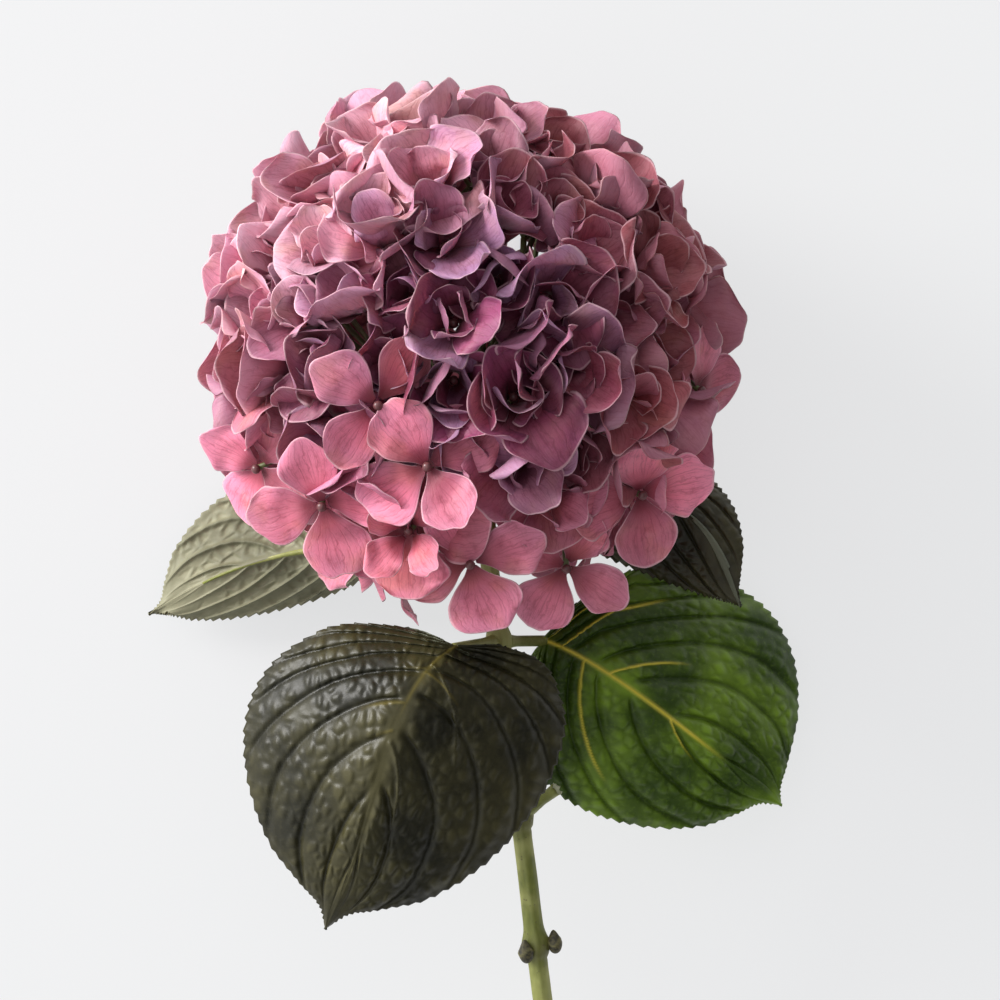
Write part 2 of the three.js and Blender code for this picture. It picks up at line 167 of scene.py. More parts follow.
PITH_SINK = 0.5 * MM
SCAR_DROP = 3.2 * MM  # from a node to the raised ring scar under it
SCAR_WIDTH = 0.7 * MM
FURROW_DROP = 4.6 * MM  # and to the furrow under the scar
FURROW_WIDTH = 0.6 * MM
DARK_DROP = 2 * MM  # middle of the dark bark at the low nodes
DARK_REACH = 4 * MM


def cross_frame(direction):
    """Two directions square to the given one."""
    helper = Vector((0, 0, 1)) if abs(direction.z) < 0.9 else Vector((1, 0, 0))
    first = helper.cross(direction).normalized()
    return first, direction.cross(first).normalized()


def add_tube(bm, path, radii, sides, material=0):
    """A closed round stalk along the points of path, added to bm, with its UV round and along."""
    uv_layer = bm.loops.layers.uv.verify()
    grid = bmesh.ops.create_grid(bm, x_segments=sides, y_segments=len(path) - 1, size=1.0)
    frames = []
    for i, point in enumerate(path):
        ahead = path[min(i + 1, len(path) - 1)] - path[max(i - 1, 0)]
        frames.append((point, *cross_frame(ahead.normalized())))
    faces = {face for corner in grid["verts"] for face in corner.link_faces}
    place = {}
    for corner in grid["verts"]:
        turn = (corner.co.x + 1) * math.pi
        step = round((corner.co.y + 1) / 2 * (len(path) - 1))
        place[corner] = (turn, step)
    for face in faces:
        face.smooth = True
        face.material_index = material
        for loop in face.loops:
            turn, step = place[loop.vert]
            loop[uv_layer].uv = (turn / (2 * math.pi), step / (len(path) - 1))
    for corner, (turn, step) in place.items():
        point, first, second = frames[step]
        radius = radii(turn, step) if callable(radii) else radii[step]
        corner.co = point + (first * math.cos(turn) + second * math.sin(turn)) * radius
    bmesh.ops.remove_doubles(bm, verts=grid["verts"], dist=1e-7)
    rims = [edge for face in faces if face.is_valid for edge in face.edges if edge.is_boundary]
    closing = bmesh.ops.holes_fill(bm, edges=list(set(rims)), sides=sides)["faces"]
    bmesh.ops.recalc_face_normals(bm, faces=[f for f in faces if f.is_valid] + closing)
    return closing


def finish_mesh(name, bm, *materials):
    mesh = bpy.data.meshes.new(name)
    bm.to_mesh(mesh)
    bm.free()
    for material in materials:
        mesh.materials.append(material)
    return add_object(name, mesh)


class Nodes:
    """Short words for laying out a material's nodes."""

    def __init__(self, material):
        self.tree = material.node_tree
        self.shader = self.tree.nodes["Principled BSDF"]

    def add(self, kind, output=0, settings=None, **inputs):
        made = self.tree.nodes.new(kind)
        for key, value in (settings or {}).items():
            setattr(made, key, value)
        for key, value in inputs.items():
            socket = made.inputs[int(key[1:])] if key[1:].isdigit() else made.inputs[key]
            self.feed(socket, value)
        return made.outputs[output]

    def feed(self, socket, value):
        if isinstance(value, bpy.types.NodeSocket):
            self.tree.links.new(value, socket)
        else:
            socket.default_value = value

    def maths(self, operation, first, second=0.0, clamp=False):
        return self.add(
            "ShaderNodeMath", settings={"operation": operation, "use_clamp": clamp}, _0=first, _1=second
        )

    def band(self, value, low, high):
        """0 below low, 1 above high and smooth between."""
        return self.add(
            "ShaderNodeMapRange",
            settings={"interpolation_type": "SMOOTHSTEP"},
            _0=value, _1=low, _2=high, _3=0.0, _4=1.0,
        )

    def blend(self, share, first, second, mode="MIX"):
        made = self.tree.nodes.new("ShaderNodeMix")
        made.data_type = "RGBA"
        made.blend_type = mode
        self.feed(made.inputs[0], share)
        self.feed(made.inputs[6], first if not isinstance(first, tuple) else (*first, 1.0))
        self.feed(made.inputs[7], second if not isinstance(second, tuple) else (*second, 1.0))
        return made.outputs[2]

    def noise(self, vector, scale, detail=2.0, rough=0.5):
        return self.add("ShaderNodeTexNoise", Vector=vector, Scale=scale, Detail=detail, Roughness=rough)

    def stretch(self, vector, size):
        return self.add("ShaderNodeMapping", Vector=vector, Scale=size)

    def place(self):
        return self.add("ShaderNodeTexCoord", output=3)

    def uv(self):
        return self.add("ShaderNodeTexCoord", output=2)

    def attribute(self, name, output=2):
        return self.add("ShaderNodeAttribute", output=output, settings={"attribute_name": name})

    def bump(self, height, strength, distance):
        return self.add("ShaderNodeBump", Height=height, Strength=strength, Distance=distance)

    def put(self, name, value):
        self.feed(self.shader.inputs[name], value)


def stem_material():
    material = plain_material("green_stem", (0.3, 0.33, 0.1), 0.5)
    n = Nodes(material)
    streaks = n.noise(n.stretch(n.uv(), (14.0, 60.0, 1.0)), 1.0, 3.0)
    cloud = n.noise(n.place(), 60.0, 3.0)
    specks = n.add("ShaderNodeTexVoronoi", Vector=n.stretch(n.uv(), (9.0, 150.0, 1.0)), Scale=1.0)
    speck = n.maths("SUBTRACT", 1.0, n.band(specks, 0.08, 0.2), clamp=True)
    colour = n.blend(streaks, (0.08, 0.095, 0.012), (0.27, 0.29, 0.055))
    colour = n.blend(n.band(cloud, 0.42, 0.7), colour, (0.42, 0.42, 0.14))
    colour = n.blend(n.attribute("node_dark"), colour, (0.1, 0.085, 0.03))
    colour = n.blend(n.maths("MULTIPLY", speck, 0.6), colour, (0.12, 0.09, 0.04))
    n.put("Base Color", colour)
    height = n.maths("ADD", n.maths("MULTIPLY", streaks, 0.6), speck)
    n.put("Normal", n.bump(height, 0.35, 0.0004))
    n.put("Roughness", n.maths("ADD", 0.4, n.maths("MULTIPLY", cloud, 0.2)))
    return material


def cut_material():
    material = plain_material("cut_face", (0.62, 0.64, 0.4), 0.7)
    n = Nodes(material)
    grain = n.noise(n.place(), 1800.0, 2.0)
    n.put("Base Color", n.blend(grain, (0.5, 0.53, 0.28), (0.78, 0.78, 0.6)))
    n.put("Normal", n.bump(grain, 0.4, 0.0003))
    return material


def stem_point(drop):
    return STEM_TOP + STEM_AXIS * drop


def node_swelling(drop):
    return sum(math.exp(-(((drop - node) / NODE_REACH) ** 2)) for node in NODE_DROPS)


def stem_radius(drop):
    share = drop / stem_length
    plain = STEM_RADIUS_HIGH + (STEM_RADIUS_LOW - STEM_RADIUS_HIGH) * share
    return plain * (1 + NODE_SWELL * node_swelling(drop))


def stem_drop(step):
    return stem_length * step / STEM_STEPS


def stem_skin(turn, step):
    """Radius of the stem with its low ridges, small lumps and the ring scar under each node."""
    drop = stem_drop(step)
    ridges = 0.035 * math.sin(5 * turn + 6 * drop) + 0.02 * math.sin(9 * turn + 1.0)
    lump = 0.05 * noise.noise(Vector((math.cos(turn) * 2, math.sin(turn) * 2, drop * 70)))
    scar = 0.0
    for node in NODE_DROPS[1:]:
        scar += 0.1 * math.exp(-(((drop - node - SCAR_DROP) / SCAR_WIDTH) ** 2))
        scar -= 0.07 * math.exp(-(((drop - node - FURROW_DROP) / FURROW_WIDTH) ** 2))
    return stem_radius(drop) * (1 + ridges + lump + scar)


stem_bm = bmesh.new()
stem_path = [stem_point(stem_drop(step)) for step in range(STEM_STEPS + 1)]
ends = add_tube(stem_bm, stem_path, stem_skin, STEM_SIDES)
cut_face = min(ends, key=lambda face: face.calc_center_median().y)
knife_way, _ = cross_frame(STEM_AXIS)
for corner in cut_face.verts:
    corner.co -= STEM_AXIS * (corner.co - CUT_END).dot(knife_way) * CUT_SLANT
cut_face.material_index = 1
bmesh.ops.inset_region(stem_bm, faces=[cut_face], thickness=BARK_WIDTH, depth=-BARK_STEP)
bmesh.ops.inset_region(stem_bm, faces=[cut_face], thickness=WOOD_WIDTH, depth=-PITH_SINK)
dark_layer = stem_bm.verts.layers.float.new("node_dark")
for corner in stem_bm.verts:
    drop = (corner.co - STEM_TOP).dot(STEM_AXIS)
    low_nodes = sum(math.exp(-(((drop - node - DARK_DROP) / DARK_REACH) ** 2)) for node in NODE_DROPS[2:])
    corner[dark_layer] = min(1.0, 0.55 * low_nodes)
stem_green = stem_material()
stem = finish_mesh("stem_shoot", stem_bm, stem_green, cut_material())
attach(stem, "root")
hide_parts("stem")

# ---- Stub of a lost leaf, and the side buds ----------------------------------------------------
# Low on the stem a leaf has been torn off and left a short frayed stub of its stalk, and two
# dark scaly buds sit against the stem, one on each side of the lowest node.

STUB_DIRECTION = Vector((0.75, 0.55, 0.35)).normalized()
STUB_LENGTH = 9 * MM
STUB_RADIUS = 1.7 * MM
STUB_RAG = 3.5 * MM  # torn fibres past the stub's length
STUB_STEPS = 14

stub_bm = bmesh.new()
stub_start = stem_point(NODE_DROPS[2]) + STUB_DIRECTION * stem_radius(NODE_DROPS[2]) * 0.7
stub_reach = STUB_DIRECTION * (STUB_LENGTH + STUB_RAG)
stub_path = [stub_start + stub_reach * (step / STUB_STEPS) for step in range(STUB_STEPS + 1)]


def stub_skin(turn, step):
    share = step / STUB_STEPS
    flare = 1.0 + 0.5 * (1 - share) ** 3 + 0.25 * share**6
    return STUB_RADIUS * flare * (1 + 0.08 * math.sin(4 * turn) + 0.05 * math.sin(7 * turn + step))


stub_ends = add_tube(stub_bm, stub_path, stub_skin, 20)
frayed = max(stub_ends, key=lambda face: (face.calc_center_median() - stub_start).length)
for k, corner in enumerate(frayed.verts):
    fray = 0.9 * noise.noise(Vector((k * 0.9, 3.0, 0.0))) + 0.3 * math.sin(k * 2.4)
    corner.co += STUB_DIRECTION * MM * fray
frayed.material_index = 1
bmesh.ops.inset_region(stub_bm, faces=[frayed], thickness=0.4 * MM, depth=-0.5 * MM)
stub = finish_mesh("leaf_stub", stub_bm, stem_green, bpy.data.materials["cut_face"])
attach(stub, "root")
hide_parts("petiole_stub")

BUD_RADIUS = 2.3 * MM
BUD_LENGTH = 7.5 * MM
BUD_NESTLE = 1.1 * MM  # how far a bud leans in against the stem


def bud_material():
    material = plain_material("bud_scales", (0.05, 0.04, 0.02), 0.5)
    n = Nodes(material)
    mottle = n.noise(n.place(), 900.0, 4.0)
    colour = n.blend(n.band(mottle, 0.35, 0.65), (0.025, 0.022, 0.012), (0.1, 0.085, 0.035))
    n.put("Base Color", n.blend(n.attribute("scale_edge"), colour, (0.3, 0.27, 0.1)))
    n.put("Normal", n.bump(mottle, 0.4, 0.0002))
    return material


def build_bud(name, node_name, tilt):
    low, high = (Vector(corner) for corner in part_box(node_name))
    middle = (low + high) / 2
    nearest = STEM_TOP + STEM_AXIS * (middle - STEM_TOP).dot(STEM_AXIS)
    middle += (nearest - middle).normalized() * BUD_NESTLE
    bm = bmesh.new()
    edge_layer = bm.verts.layers.float.new("scale_edge")
    bmesh.ops.create_uvsphere(bm, u_segments=28, v_segments=22, radius=1.0)
    growth = -STEM_AXIS
    first, second = cross_frame(growth)
    for corner in bm.verts:
        turn = math.atan2(corner.co.y, corner.co.x)
        height = corner.co.z
        slim = 1 - 0.4 * max(height, 0)
        # Two pairs of scales wrap the bud, and each scale's edge stands a little proud.
        seam = math.cos(2 * turn + tilt) * 0.25 + 0.1
        proud = math.exp(-(((height - seam) / 0.12) ** 2))
        slim *= 1 + 0.09 * proud + 0.05 * math.cos(2 * turn)
        corner[edge_layer] = 0.5 * proud
        corner.co = (
            middle
            + first * corner.co.x * BUD_RADIUS * slim
            + second * corner.co.y * BUD_RADIUS * slim
            + growth * height * (1 + 0.12 * max(height, 0)) * BUD_LENGTH / 2
        )
    for face in bm.faces:
        face.smooth = True
    bud = finish_mesh(name, bm, bud_skin)
    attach(bud, "root")
    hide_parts(node_name)


bud_skin = bud_material()
build_bud("side_bud", "bud_right", 0.4)
build_bud("front_bud", "bud_front", 1.9)

# ---- Leaves ----------------------------------------------------------------------------------------
# Broad oval blades, toothed all round, with a drawn-out tip. Each grew as one piece with its
# stalk. Side veins leave the midrib in pairs and sweep forwards, and small cross veins between
# them pucker the blade into a quilt. Solid dimensions repeat those of the frame's leaf nodes.

EDGE_POINTS = np.array(
    [(0, 0), (0.32, -0.06), (0.68, -0.04), (0.93, 0.13), (1.0, 0.38), (0.88, 0.61), (0.6, 0.8),
     (0.3, 0.89), (0.11, 0.935), (0, 1)]
)
VEIN_SWEEP = 1.2
LEAF_ROWS = 210
LEAF_COLUMNS = 136
TEETH = 44
TOOTH_DEPTH = 0.55 * MM
VEIN_ROWS = [-0.4, -0.3, -0.21, -0.13, -0.05, 0.03, 0.12, 0.22, 0.34, 0.48, 0.64, 0.82, 1.02]
VEIN_LEAN = 0.34
CELL_SIZE = (4.6, 3.3)  # of one blister between the veins: along the blade, across it
BLADE_THICKNESS = 0.6 * MM
MIDRIB_WIDTH = 1.1 * MM
MIDRIB_DEPTH = 0.6 * MM
GOLD_WIDTH = 0.6 * MM  # of the yellow line along the midrib
PETIOLE_RADIUS = 1.75 * MM
PETIOLE_SINK = 0.9 * MM  # how far the midrib's back lies under a blade that faces up
BLADE_LIFT = 0.4 * MM  # the least room between a blade and the surface

# For each leaf: how far down the stem its stalk starts, the four points that bend its midrib,
# and the way the blade faces at its base and its tip. Each of its two sides has its width, how
# steeply it falls, how much it droops at the edge, how full its tip is and how far its edge
# leans forwards. "quilt" is the strength of the puckers, downwards on an underside. A raised
# or golden vein has its side, where it starts and ends along the blade and how far out it
# reaches, and a raised one its strength as well.
LEAVES = {
    "leaf_front": {
        "drop": 42,
        "midrib": [(-2, -93, 86), (-25, -105, 104), (-25, -146, 98), (-43, -182, 66)],
        "faces": [(-0.1, 0.1, 1), (-0.1, -0.35, 1)],
        "sides": [(50.5, 0.28, 0.25, 0.85, 0.25), (45, 0.4, 0.25, 1.05, -0.02)],
        "quilt": 1.2,
        "raised": [(1, 0.0, 0.16, 0.6, 0.5), (1, 0.08, 0.2, 0.45, 0.4), (1, 0.17, 0.55, 0.5, 1.0),
                   (1, 0.5, 0.74, 0.35, 0.8)],
        "gold": [(-1, 0.2, 0.24, 0.2), (-1, 0.36, 0.42, 0.3), (1, 0.22, 0.36, 0.35), (-1, 0.46, 0.5, 0.16)],
        "midrib_end": 0.42,
        "gold_tone": 0.3,
        "face_up": True,
    },
    "leaf_side": {
        "drop": 43.5,
        "midrib": [(25, -92, 53), (44, -98, 55), (74, -124, 44), (102, -146, 20)],
        "faces": [(0, 0.1, 1), (0.2, -0.1, 1)],
        "sides": [(38, 0.1, 0.3, 1, 0.2), (49, 0.42, 0.3, 0.62, 0.28)],
        "quilt": 1.4,
        "raised": [],
        "gold": [(1, 0.02, 0.2, 0.85), (1, 0.14, 0.33, 0.75), (1, 0.38, 0.5, 0.4),
                 (-1, 0.27, 0.5, 0.75), (-1, 0.62, 0.7, 0.3)],
        "midrib_end": 0.8,
        "gold_tone": 1.0,
        "face_up": True,
    },
    "leaf_upper_left": {
        "drop": 9,
        "midrib": [(-32, -64, 30), (-52, -62, 23), (-76, -68, 18), (-102, -85, 9)],
        "faces": [(0, 0.1, 1), (-0.1, 0, 1)],
        "sides": [(32, 0.15, 0.1, 0.9, 0), (11, 0.5, 0.4, 0.9, 0)],
        "quilt": -1.1,
        "raised": [],
        "gold": [],
        "midrib_end": 0.0,
        "gold_tone": 0.0,
        "face_up": False,
    },
    "leaf_upper_right": {
        "drop": 10,
        "midrib": [(30, -56, 36), (48, -42, 31), (78, -40, 34), (88, -82, 38)],
        "faces": [(0, 0.1, 1), (0, 0, 1)],
        "sides": [(3, 1, 0.5, 0.9, 0), (34, 0.2, 0.25, 0.5, 0.05)],
        "quilt": 1.1,
        "raised": [],
        "gold": [],
        "midrib_end": 0.3,
        "gold_tone": 0.3,
        "face_up": True,
    },
}


def edge_at(row):
    """Half of the leaf's edge as a smooth curve through its points: share of width, of length."""
    before = 2 * EDGE_POINTS[0] - EDGE_POINTS[1]
    after = 2 * EDGE_POINTS[-1] - EDGE_POINTS[-2]
    padded = np.vstack([before, EDGE_POINTS, after])
    spot = np.clip(row, 0, 1) * (len(EDGE_POINTS) - 1)
    first = np.minimum(spot.astype(int), len(EDGE_POINTS) - 2)
    t = (spot - first)[..., None]
    p0, p1, p2, p3 = (padded[first + k] for k in range(4))
    square = 2 * p0 - 5 * p1 + 4 * p2 - p3
    cube = 3 * p1 - p0 - 3 * p2 + p3
    return (2 * p1 + (p2 - p0) * t + square * t**2 + cube * t**3) / 2


def unit(vectors):
    return vectors / np.linalg.norm(vectors, axis=-1, keepdims=True)


def smooth(value, low, high):
    t = np.clip((value - low) / (high - low), 0, 1)
    return t * t * (3 - 2 * t)


def wander(x, y, seed):
    """Cheap smooth unevenness between -1 and 1."""
    r = np.random.default_rng(seed)
    total = np.zeros_like(x)
    for _ in range(6):
        fx, fy, shift = r.uniform(-1, 1), r.uniform(-1, 1), r.uniform(0, 6.28)
        total += np.sin(x * fx + y * fy + shift)
    return total / 4


def leaf_surface(form, row, column):
    """Points of the blade for rows from base to tip and columns from edge (-1) to edge (1), with
    the ways out of the blade and across it, and each point's distance from the midrib."""
    edge = edge_at(row)
    reach = np.abs(column)
    side_index = (column > 0).astype(int)
    width, fall, droop, fullness, skew = (np.array(s)[side_index] for s in zip(*form["sides"]))
    width = width * MM
    forward = np.where(edge[..., 1] > 0, np.abs(edge[..., 1]) ** fullness, edge[..., 1])
    forward = forward + skew * edge[..., 0] * (1 - forward) ** 2
    along = (1 - reach) * row**VEIN_SWEEP + reach * forward
    across = reach * edge[..., 0] * width
    offset = np.array((HEAD.x, HEAD.y, 0.0))
    control = np.array(form["midrib"]) * MM + offset
    chord = control[3] - control[0]
    held = np.clip(along, 0, 1)[..., None]
    rib = (
        control[0] * (1 - held) ** 3
        + 3 * control[1] * held * (1 - held) ** 2
        + 3 * control[2] * held**2 * (1 - held)
        + control[3] * held**3
    )
    face = np.array(form["faces"][0]) * (1 - held) + np.array(form["faces"][1]) * held
    side = unit(np.cross(face, chord))
    normal = unit(np.cross(chord, side))
    bow = np.sum((rib - control[0]) * side, axis=-1)
    fallen = fall * across + droop * across**2 / width
    point = rib - side * bow[..., None] + chord * (along[..., None] - held)
    point = point + side * (np.sign(column) * across + bow * (1 - reach))[..., None]
    point[..., 2] -= fallen
    from_midrib = np.abs(np.sign(column) * across - bow * reach)
    return point, normal, side, from_midrib


def blisters(along, across):
    """Small domes that meet in creases, about 1 on a dome and 0 in a crease."""
    domes = np.empty(len(along))
    for i, (x, y) in enumerate(zip(along / CELL_SIZE[0], across / CELL_SIZE[1])):
        near, next_near = noise.voronoi(Vector((x, y, 0.0)))[0][:2]
        domes[i] = next_near - near
    return smooth(domes, 0.0, 0.5)


def leaf_relief(form, row, column, from_midrib, length, spread):
    """Height of the puckered blade, how far each spot lies down in a vein groove or in a crease between
    blisters (where the blade's colour gets painted shade), and the gold of its veins."""
    reach = np.abs(column)
    sign = np.where(column < 0, -1, 1)
    origin = row - VEIN_LEAN * reach**1.35 + 0.006 * wander(row * 40, column * 9, 5)
    origin = origin + np.where(sign > 0, 0.025, 0.0)
    band = np.interp(origin, VEIN_ROWS, np.arange(len(VEIN_ROWS)))
    between = band - np.floor(band)
    from_vein = np.minimum(between, 1 - between) * 9.0
    pleat = np.sin(np.pi * between) ** 0.7
    vein = np.exp(-((from_vein / 0.8) ** 2))
    puff = blisters(spread[0], spread[1])
    fade = smooth(reach, 0.02, 0.1) * smooth(1 - row, 0.0, 0.06)
    height = fade * (0.6 * pleat + 0.55 * puff * (1 - 0.6 * vein) - 0.75 * vein) * MM * form["quilt"]
    # Painted shade: this mask darkens the vein grooves and the creases between the blisters.
    crease_shade_and_vein_tone = np.clip(fade * np.maximum(vein, (1 - puff) * 0.6), 0, 1)
    rib = np.exp(-((from_midrib / MIDRIB_WIDTH) ** 2)) * MIDRIB_DEPTH
    rib = rib * smooth(1.0 - row, 0.02, 0.5) * smooth(row, 0.05, 0.2)
    height -= np.sign(form["quilt"]) * rib
    raised_gold = 1.0 if form["gold_tone"] > 0.6 else 0.0
    gold = np.exp(-((from_midrib / GOLD_WIDTH) ** 2))
    gold = gold * (1 - smooth(row, form["midrib_end"] - 0.12, form["midrib_end"] + 0.02))
    height += gold * 1.0 * MM * raised_gold
    for side, start, end, far in form["gold"]:
        line = start + (end - start) * (reach / far) ** 1.4
        gap = (row - line) * length
        trace = np.exp(-((gap / 0.5) ** 2)) * (1 - smooth(reach, far - 0.15, far)) * (sign == side)
        gold = np.maximum(gold, trace)
        height += trace * (0.25 + 0.45 * raised_gold) * MM
    for side, start, end, far, strength in form["raised"]:
        line = start + (end - start) * (reach / far) ** 1.4
        gap = (row - line) * length
        trace = np.exp(-((gap / 0.9) ** 2)) * (1 - smooth(reach, far - 0.15, far)) * (sign == side)
        height += strength * trace * 1.2 * MM
        crease_shade_and_vein_tone = crease_shade_and_vein_tone * (1 - trace)
    return height, crease_shade_and_vein_tone, gold * form["gold_tone"]


def build_leaf(name, node_name, upper, under):
    form = LEAVES[node_name]
    bm = bmesh.new()
    uv_layer = bm.loops.layers.uv.verify()
    crease_shade_layer = bm.verts.layers.float.new("crease_shade_and_vein_tone")
    gold_layer = bm.verts.layers.float.new("gold")
    grid = bmesh.ops.create_grid(bm, x_segments=LEAF_COLUMNS, y_segments=LEAF_ROWS, size=1.0)
    bmesh.ops.reverse_faces(bm, faces=bm.faces)
    flat = np.array([corner.co for corner in grid["verts"]])
    column = flat[:, 0]
    row = (flat[:, 1] + 1) / 2
    row = 0.004 + 0.996 * row
    for face in bm.faces:
        face.smooth = True
        for loop in face.loops:
            loop[uv_layer].uv = ((loop.vert.co.x + 1) / 2, (loop.vert.co.y + 1) / 2)
    point, normal, side, from_midrib = leaf_surface(form, row, column)
    tooth = (row * TEETH + 0.3 * wander(row * 30, column * 0 + 1, 2)) % 1.0
    rim = smooth(np.abs(column), 0.93, 1.0) * smooth(row, 0.04, 0.12) * (1 - smooth(row, 0.93, 0.98))
    point = point + side * (np.sign(column) * rim * (tooth - 0.5) * 2 * TOOTH_DEPTH)[:, None]
    length = np.linalg.norm(np.array(form["midrib"][3]) - np.array(form["midrib"][0]))
    chord = unit(np.array(form["midrib"][3], float) - np.array(form["midrib"][0], float))
    spread = (point @ chord / MM, np.sum(point * side, axis=1) / MM)
    height, crease_shade_and_vein_tone, gold = leaf_relief(form, row, column, from_midrib, length, spread)
    width = leaf_surface(form, row, np.where(column > 0, 1.0, -1.0))[3] / MM
    height = height * smooth(width, 1.0, 16.0) * smooth(1 - row, 0.0, 0.12)
    crease_shade_and_vein_tone = crease_shade_and_vein_tone * smooth(width, 1.0, 12.0)
    drift = wander(row * 9, column * 6, 21) * 1.2 * MM * smooth(np.abs(column), 0.1, 0.9)
    edge_wave = wander(row * 26, column * 3, 23) * 0.9 * MM * smooth(np.abs(column), 0.6, 1.0)
    flatten = 1 - 0.75 * smooth(np.abs(column), 0.9, 1.0)
    point = point + normal * (height * flatten + drift + edge_wave)[:, None]
    point[:, 2] = np.maximum(point[:, 2], BLADE_LIFT)
    for corner, spot, dark, bright in zip(grid["verts"], point, crease_shade_and_vein_tone, gold):
        corner.co = spot
        corner[crease_shade_layer] = dark
        corner[gold_layer] = bright
    bmesh.ops.remove_doubles(bm, verts=bm.verts, dist=0.02 * MM)
    # The stalk comes from the stem and runs on under the blade as the raised back of the midrib.
    root = stem_point(form["drop"] * MM)
    rows = np.linspace(0.03, 0.8, 26)
    spine, spine_normal, _, _ = leaf_surface(form, rows, np.zeros_like(rows))
    spine_way = unit(np.gradient(spine, axis=0))
    spine_normal = unit(spine_normal - spine_way * np.sum(spine_normal * spine_way, axis=1, keepdims=True))
    seat = Vector(spine[0]) - Vector(spine_normal[0]) * 1.2 * MM
    outward = seat - root
    outward -= STEM_AXIS * outward.dot(STEM_AXIS)
    start = root + outward.normalized() * stem_radius(form["drop"] * MM) * 0.75
    bend = start.lerp(seat, 0.5) - Vector((0, 0, 1.5 * MM))
    path = [
        start * (1 - t) ** 2 + bend * 2 * t * (1 - t) + seat * t**2 for t in np.linspace(0, 1, 16)[:-1]
    ]
    thick = [PETIOLE_RADIUS * (1.35 - 0.35 * min(1.0, t * 4)) for t in np.linspace(0, 1, 15)]
    for k, (spot, away) in enumerate(zip(spine, spine_normal)):
        share = k / len(spine)
        radius = PETIOLE_RADIUS * (0.95 - 0.75 * share**0.7)
        sink = radius + PETIOLE_SINK if form["face_up"] else radius * 0.2
        path.append(Vector(spot) - Vector(away) * sink)
        thick.append(radius)
    add_tube(bm, path, lambda turn, step: thick[step], 14, material=2)
    leaf = finish_mesh(name, bm, upper, under, stem_green, stem_green)
    wall = leaf.modifiers.new("blade", "SOLIDIFY")
    wall.thickness = BLADE_THICKNESS
    wall.offset = -1.0
    wall.material_offset = 1
    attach(leaf, "root")
    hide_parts(node_name)
    return leaf


def leaf_material(name, dark, light, crease_shade_and_vein_tone, gold, roughness, specular):
    material = plain_material(name, light, roughness)
    n = Nodes(material)
    cloud = n.noise(n.place(), 45.0, 4.0)
    fine = n.noise(n.place(), 900.0, 3.0)
    colour = n.blend(n.band(cloud, 0.35, 0.68), dark, light)
    # Painted shade in the vein grooves and the creases between blisters; on the undersides the colour there
    # is a paler vein tone.
    colour = n.blend(n.maths("MULTIPLY", n.attribute("crease_shade_and_vein_tone"), 0.65), colour, crease_shade_and_vein_tone)
    colour = n.blend(n.maths("MULTIPLY", n.band(fine, 0.5, 0.75), 0.18), colour, light)
    colour = n.blend(n.attribute("gold"), colour, gold)
    n.put("Base Color", colour)
    n.put("Roughness", n.maths("ADD", roughness, n.maths("MULTIPLY", fine, 0.16)))
    n.put("Specular IOR Level", specular)
    n.put("Normal", n.bump(fine, 0.18, 0.00025))
    return material


# Each finish: the blade's dark and light tones, the painted shade in its grooves and creases (on an
# underside a paler vein tone), its veins, how rough and how bright its shine is.
dark_upper = leaf_material(
    "dark_leaf_upper",
    (0.014, 0.013, 0.005), (0.062, 0.055, 0.02), (0.005, 0.005, 0.002), (0.26, 0.2, 0.03), 0.33, 0.3,
)
dark_under = leaf_material(
    "dark_leaf_under",
    (0.09, 0.1, 0.07), (0.15, 0.16, 0.11), (0.2, 0.21, 0.15), (0.4, 0.38, 0.2), 0.6, 0.3,
)
green_upper = leaf_material(
    "green_leaf_upper",
    (0.035, 0.07, 0.004), (0.19, 0.31, 0.022), (0.014, 0.032, 0.002), (0.7, 0.58, 0.06), 0.34, 0.3,
)
green_under = leaf_material(
    "green_leaf_under",
    (0.14, 0.22, 0.08), (0.2, 0.28, 0.12), (0.27, 0.33, 0.17), (0.5, 0.5, 0.25), 0.6, 0.3,
)
pale_upper = leaf_material(
    "pale_leaf_face",
    (0.16, 0.155, 0.095), (0.27, 0.26, 0.165), (0.09, 0.09, 0.05), (0.4, 0.38, 0.2), 0.5, 0.35,
)
build_leaf("front_leaf", "leaf_front", dark_upper, dark_under)
build_leaf("side_leaf", "leaf_side", green_upper, green_under)
build_leaf("upper_left_leaf", "leaf_upper_left", pale_upper, dark_upper)
build_leaf("upper_right_leaf", "leaf_upper_right", dark_upper, dark_under)

# ---- Where the florets sit ---------------------------------------------------------------------------
# The head is made of small cymes that follow a spiral from its crown to the edge of its open
# side round the stem. Each cyme bears three florets, and all of them jostle for room.

cyme_nodes = sorted(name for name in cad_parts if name.startswith("cyme_"))
CYMES = len(cyme_nodes)
HEAD_RADIUS = 84 * MM
FORK_DEPTH = 33 * MM
FLORET_SPREAD = 0.168
OPENING_HALF_ANGLE = 0.72
OPENING_TILT = 0.32
SPIRAL_START = 2.1
GOLDEN_ANGLE = math.pi * (3 - math.sqrt(5))
CYME_FLORETS = 3
opening = Vector((0, -math.cos(OPENING_TILT), -math.sin(OPENING_TILT)))
head_middle = np.array(HEAD)


def spiral_cyme(index):
    height = 1 - (index + 0.5) / CYMES * (1 + math.cos(OPENING_HALF_ANGLE))
    turn = SPIRAL_START + index * GOLDEN_ANGLE
    first, second = cross_frame(-opening)
    reach = math.sqrt(1 - height * height)
    return -opening * height + first * reach * math.cos(turn) + second * reach * math.sin(turn)


def cyme_florets(index):
    axis = spiral_cyme(index)
    first, second = cross_frame(axis)
    directions = []
    for k in range(CYME_FLORETS):
        turn = index * GOLDEN_ANGLE + k * 2 * math.pi / CYME_FLORETS
        lean = math.tan(FLORET_SPREAD)
        direction = axis + first * lean * math.cos(turn) + second * lean * math.sin(turn)
        directions.append(direction.normalized())
    return directions


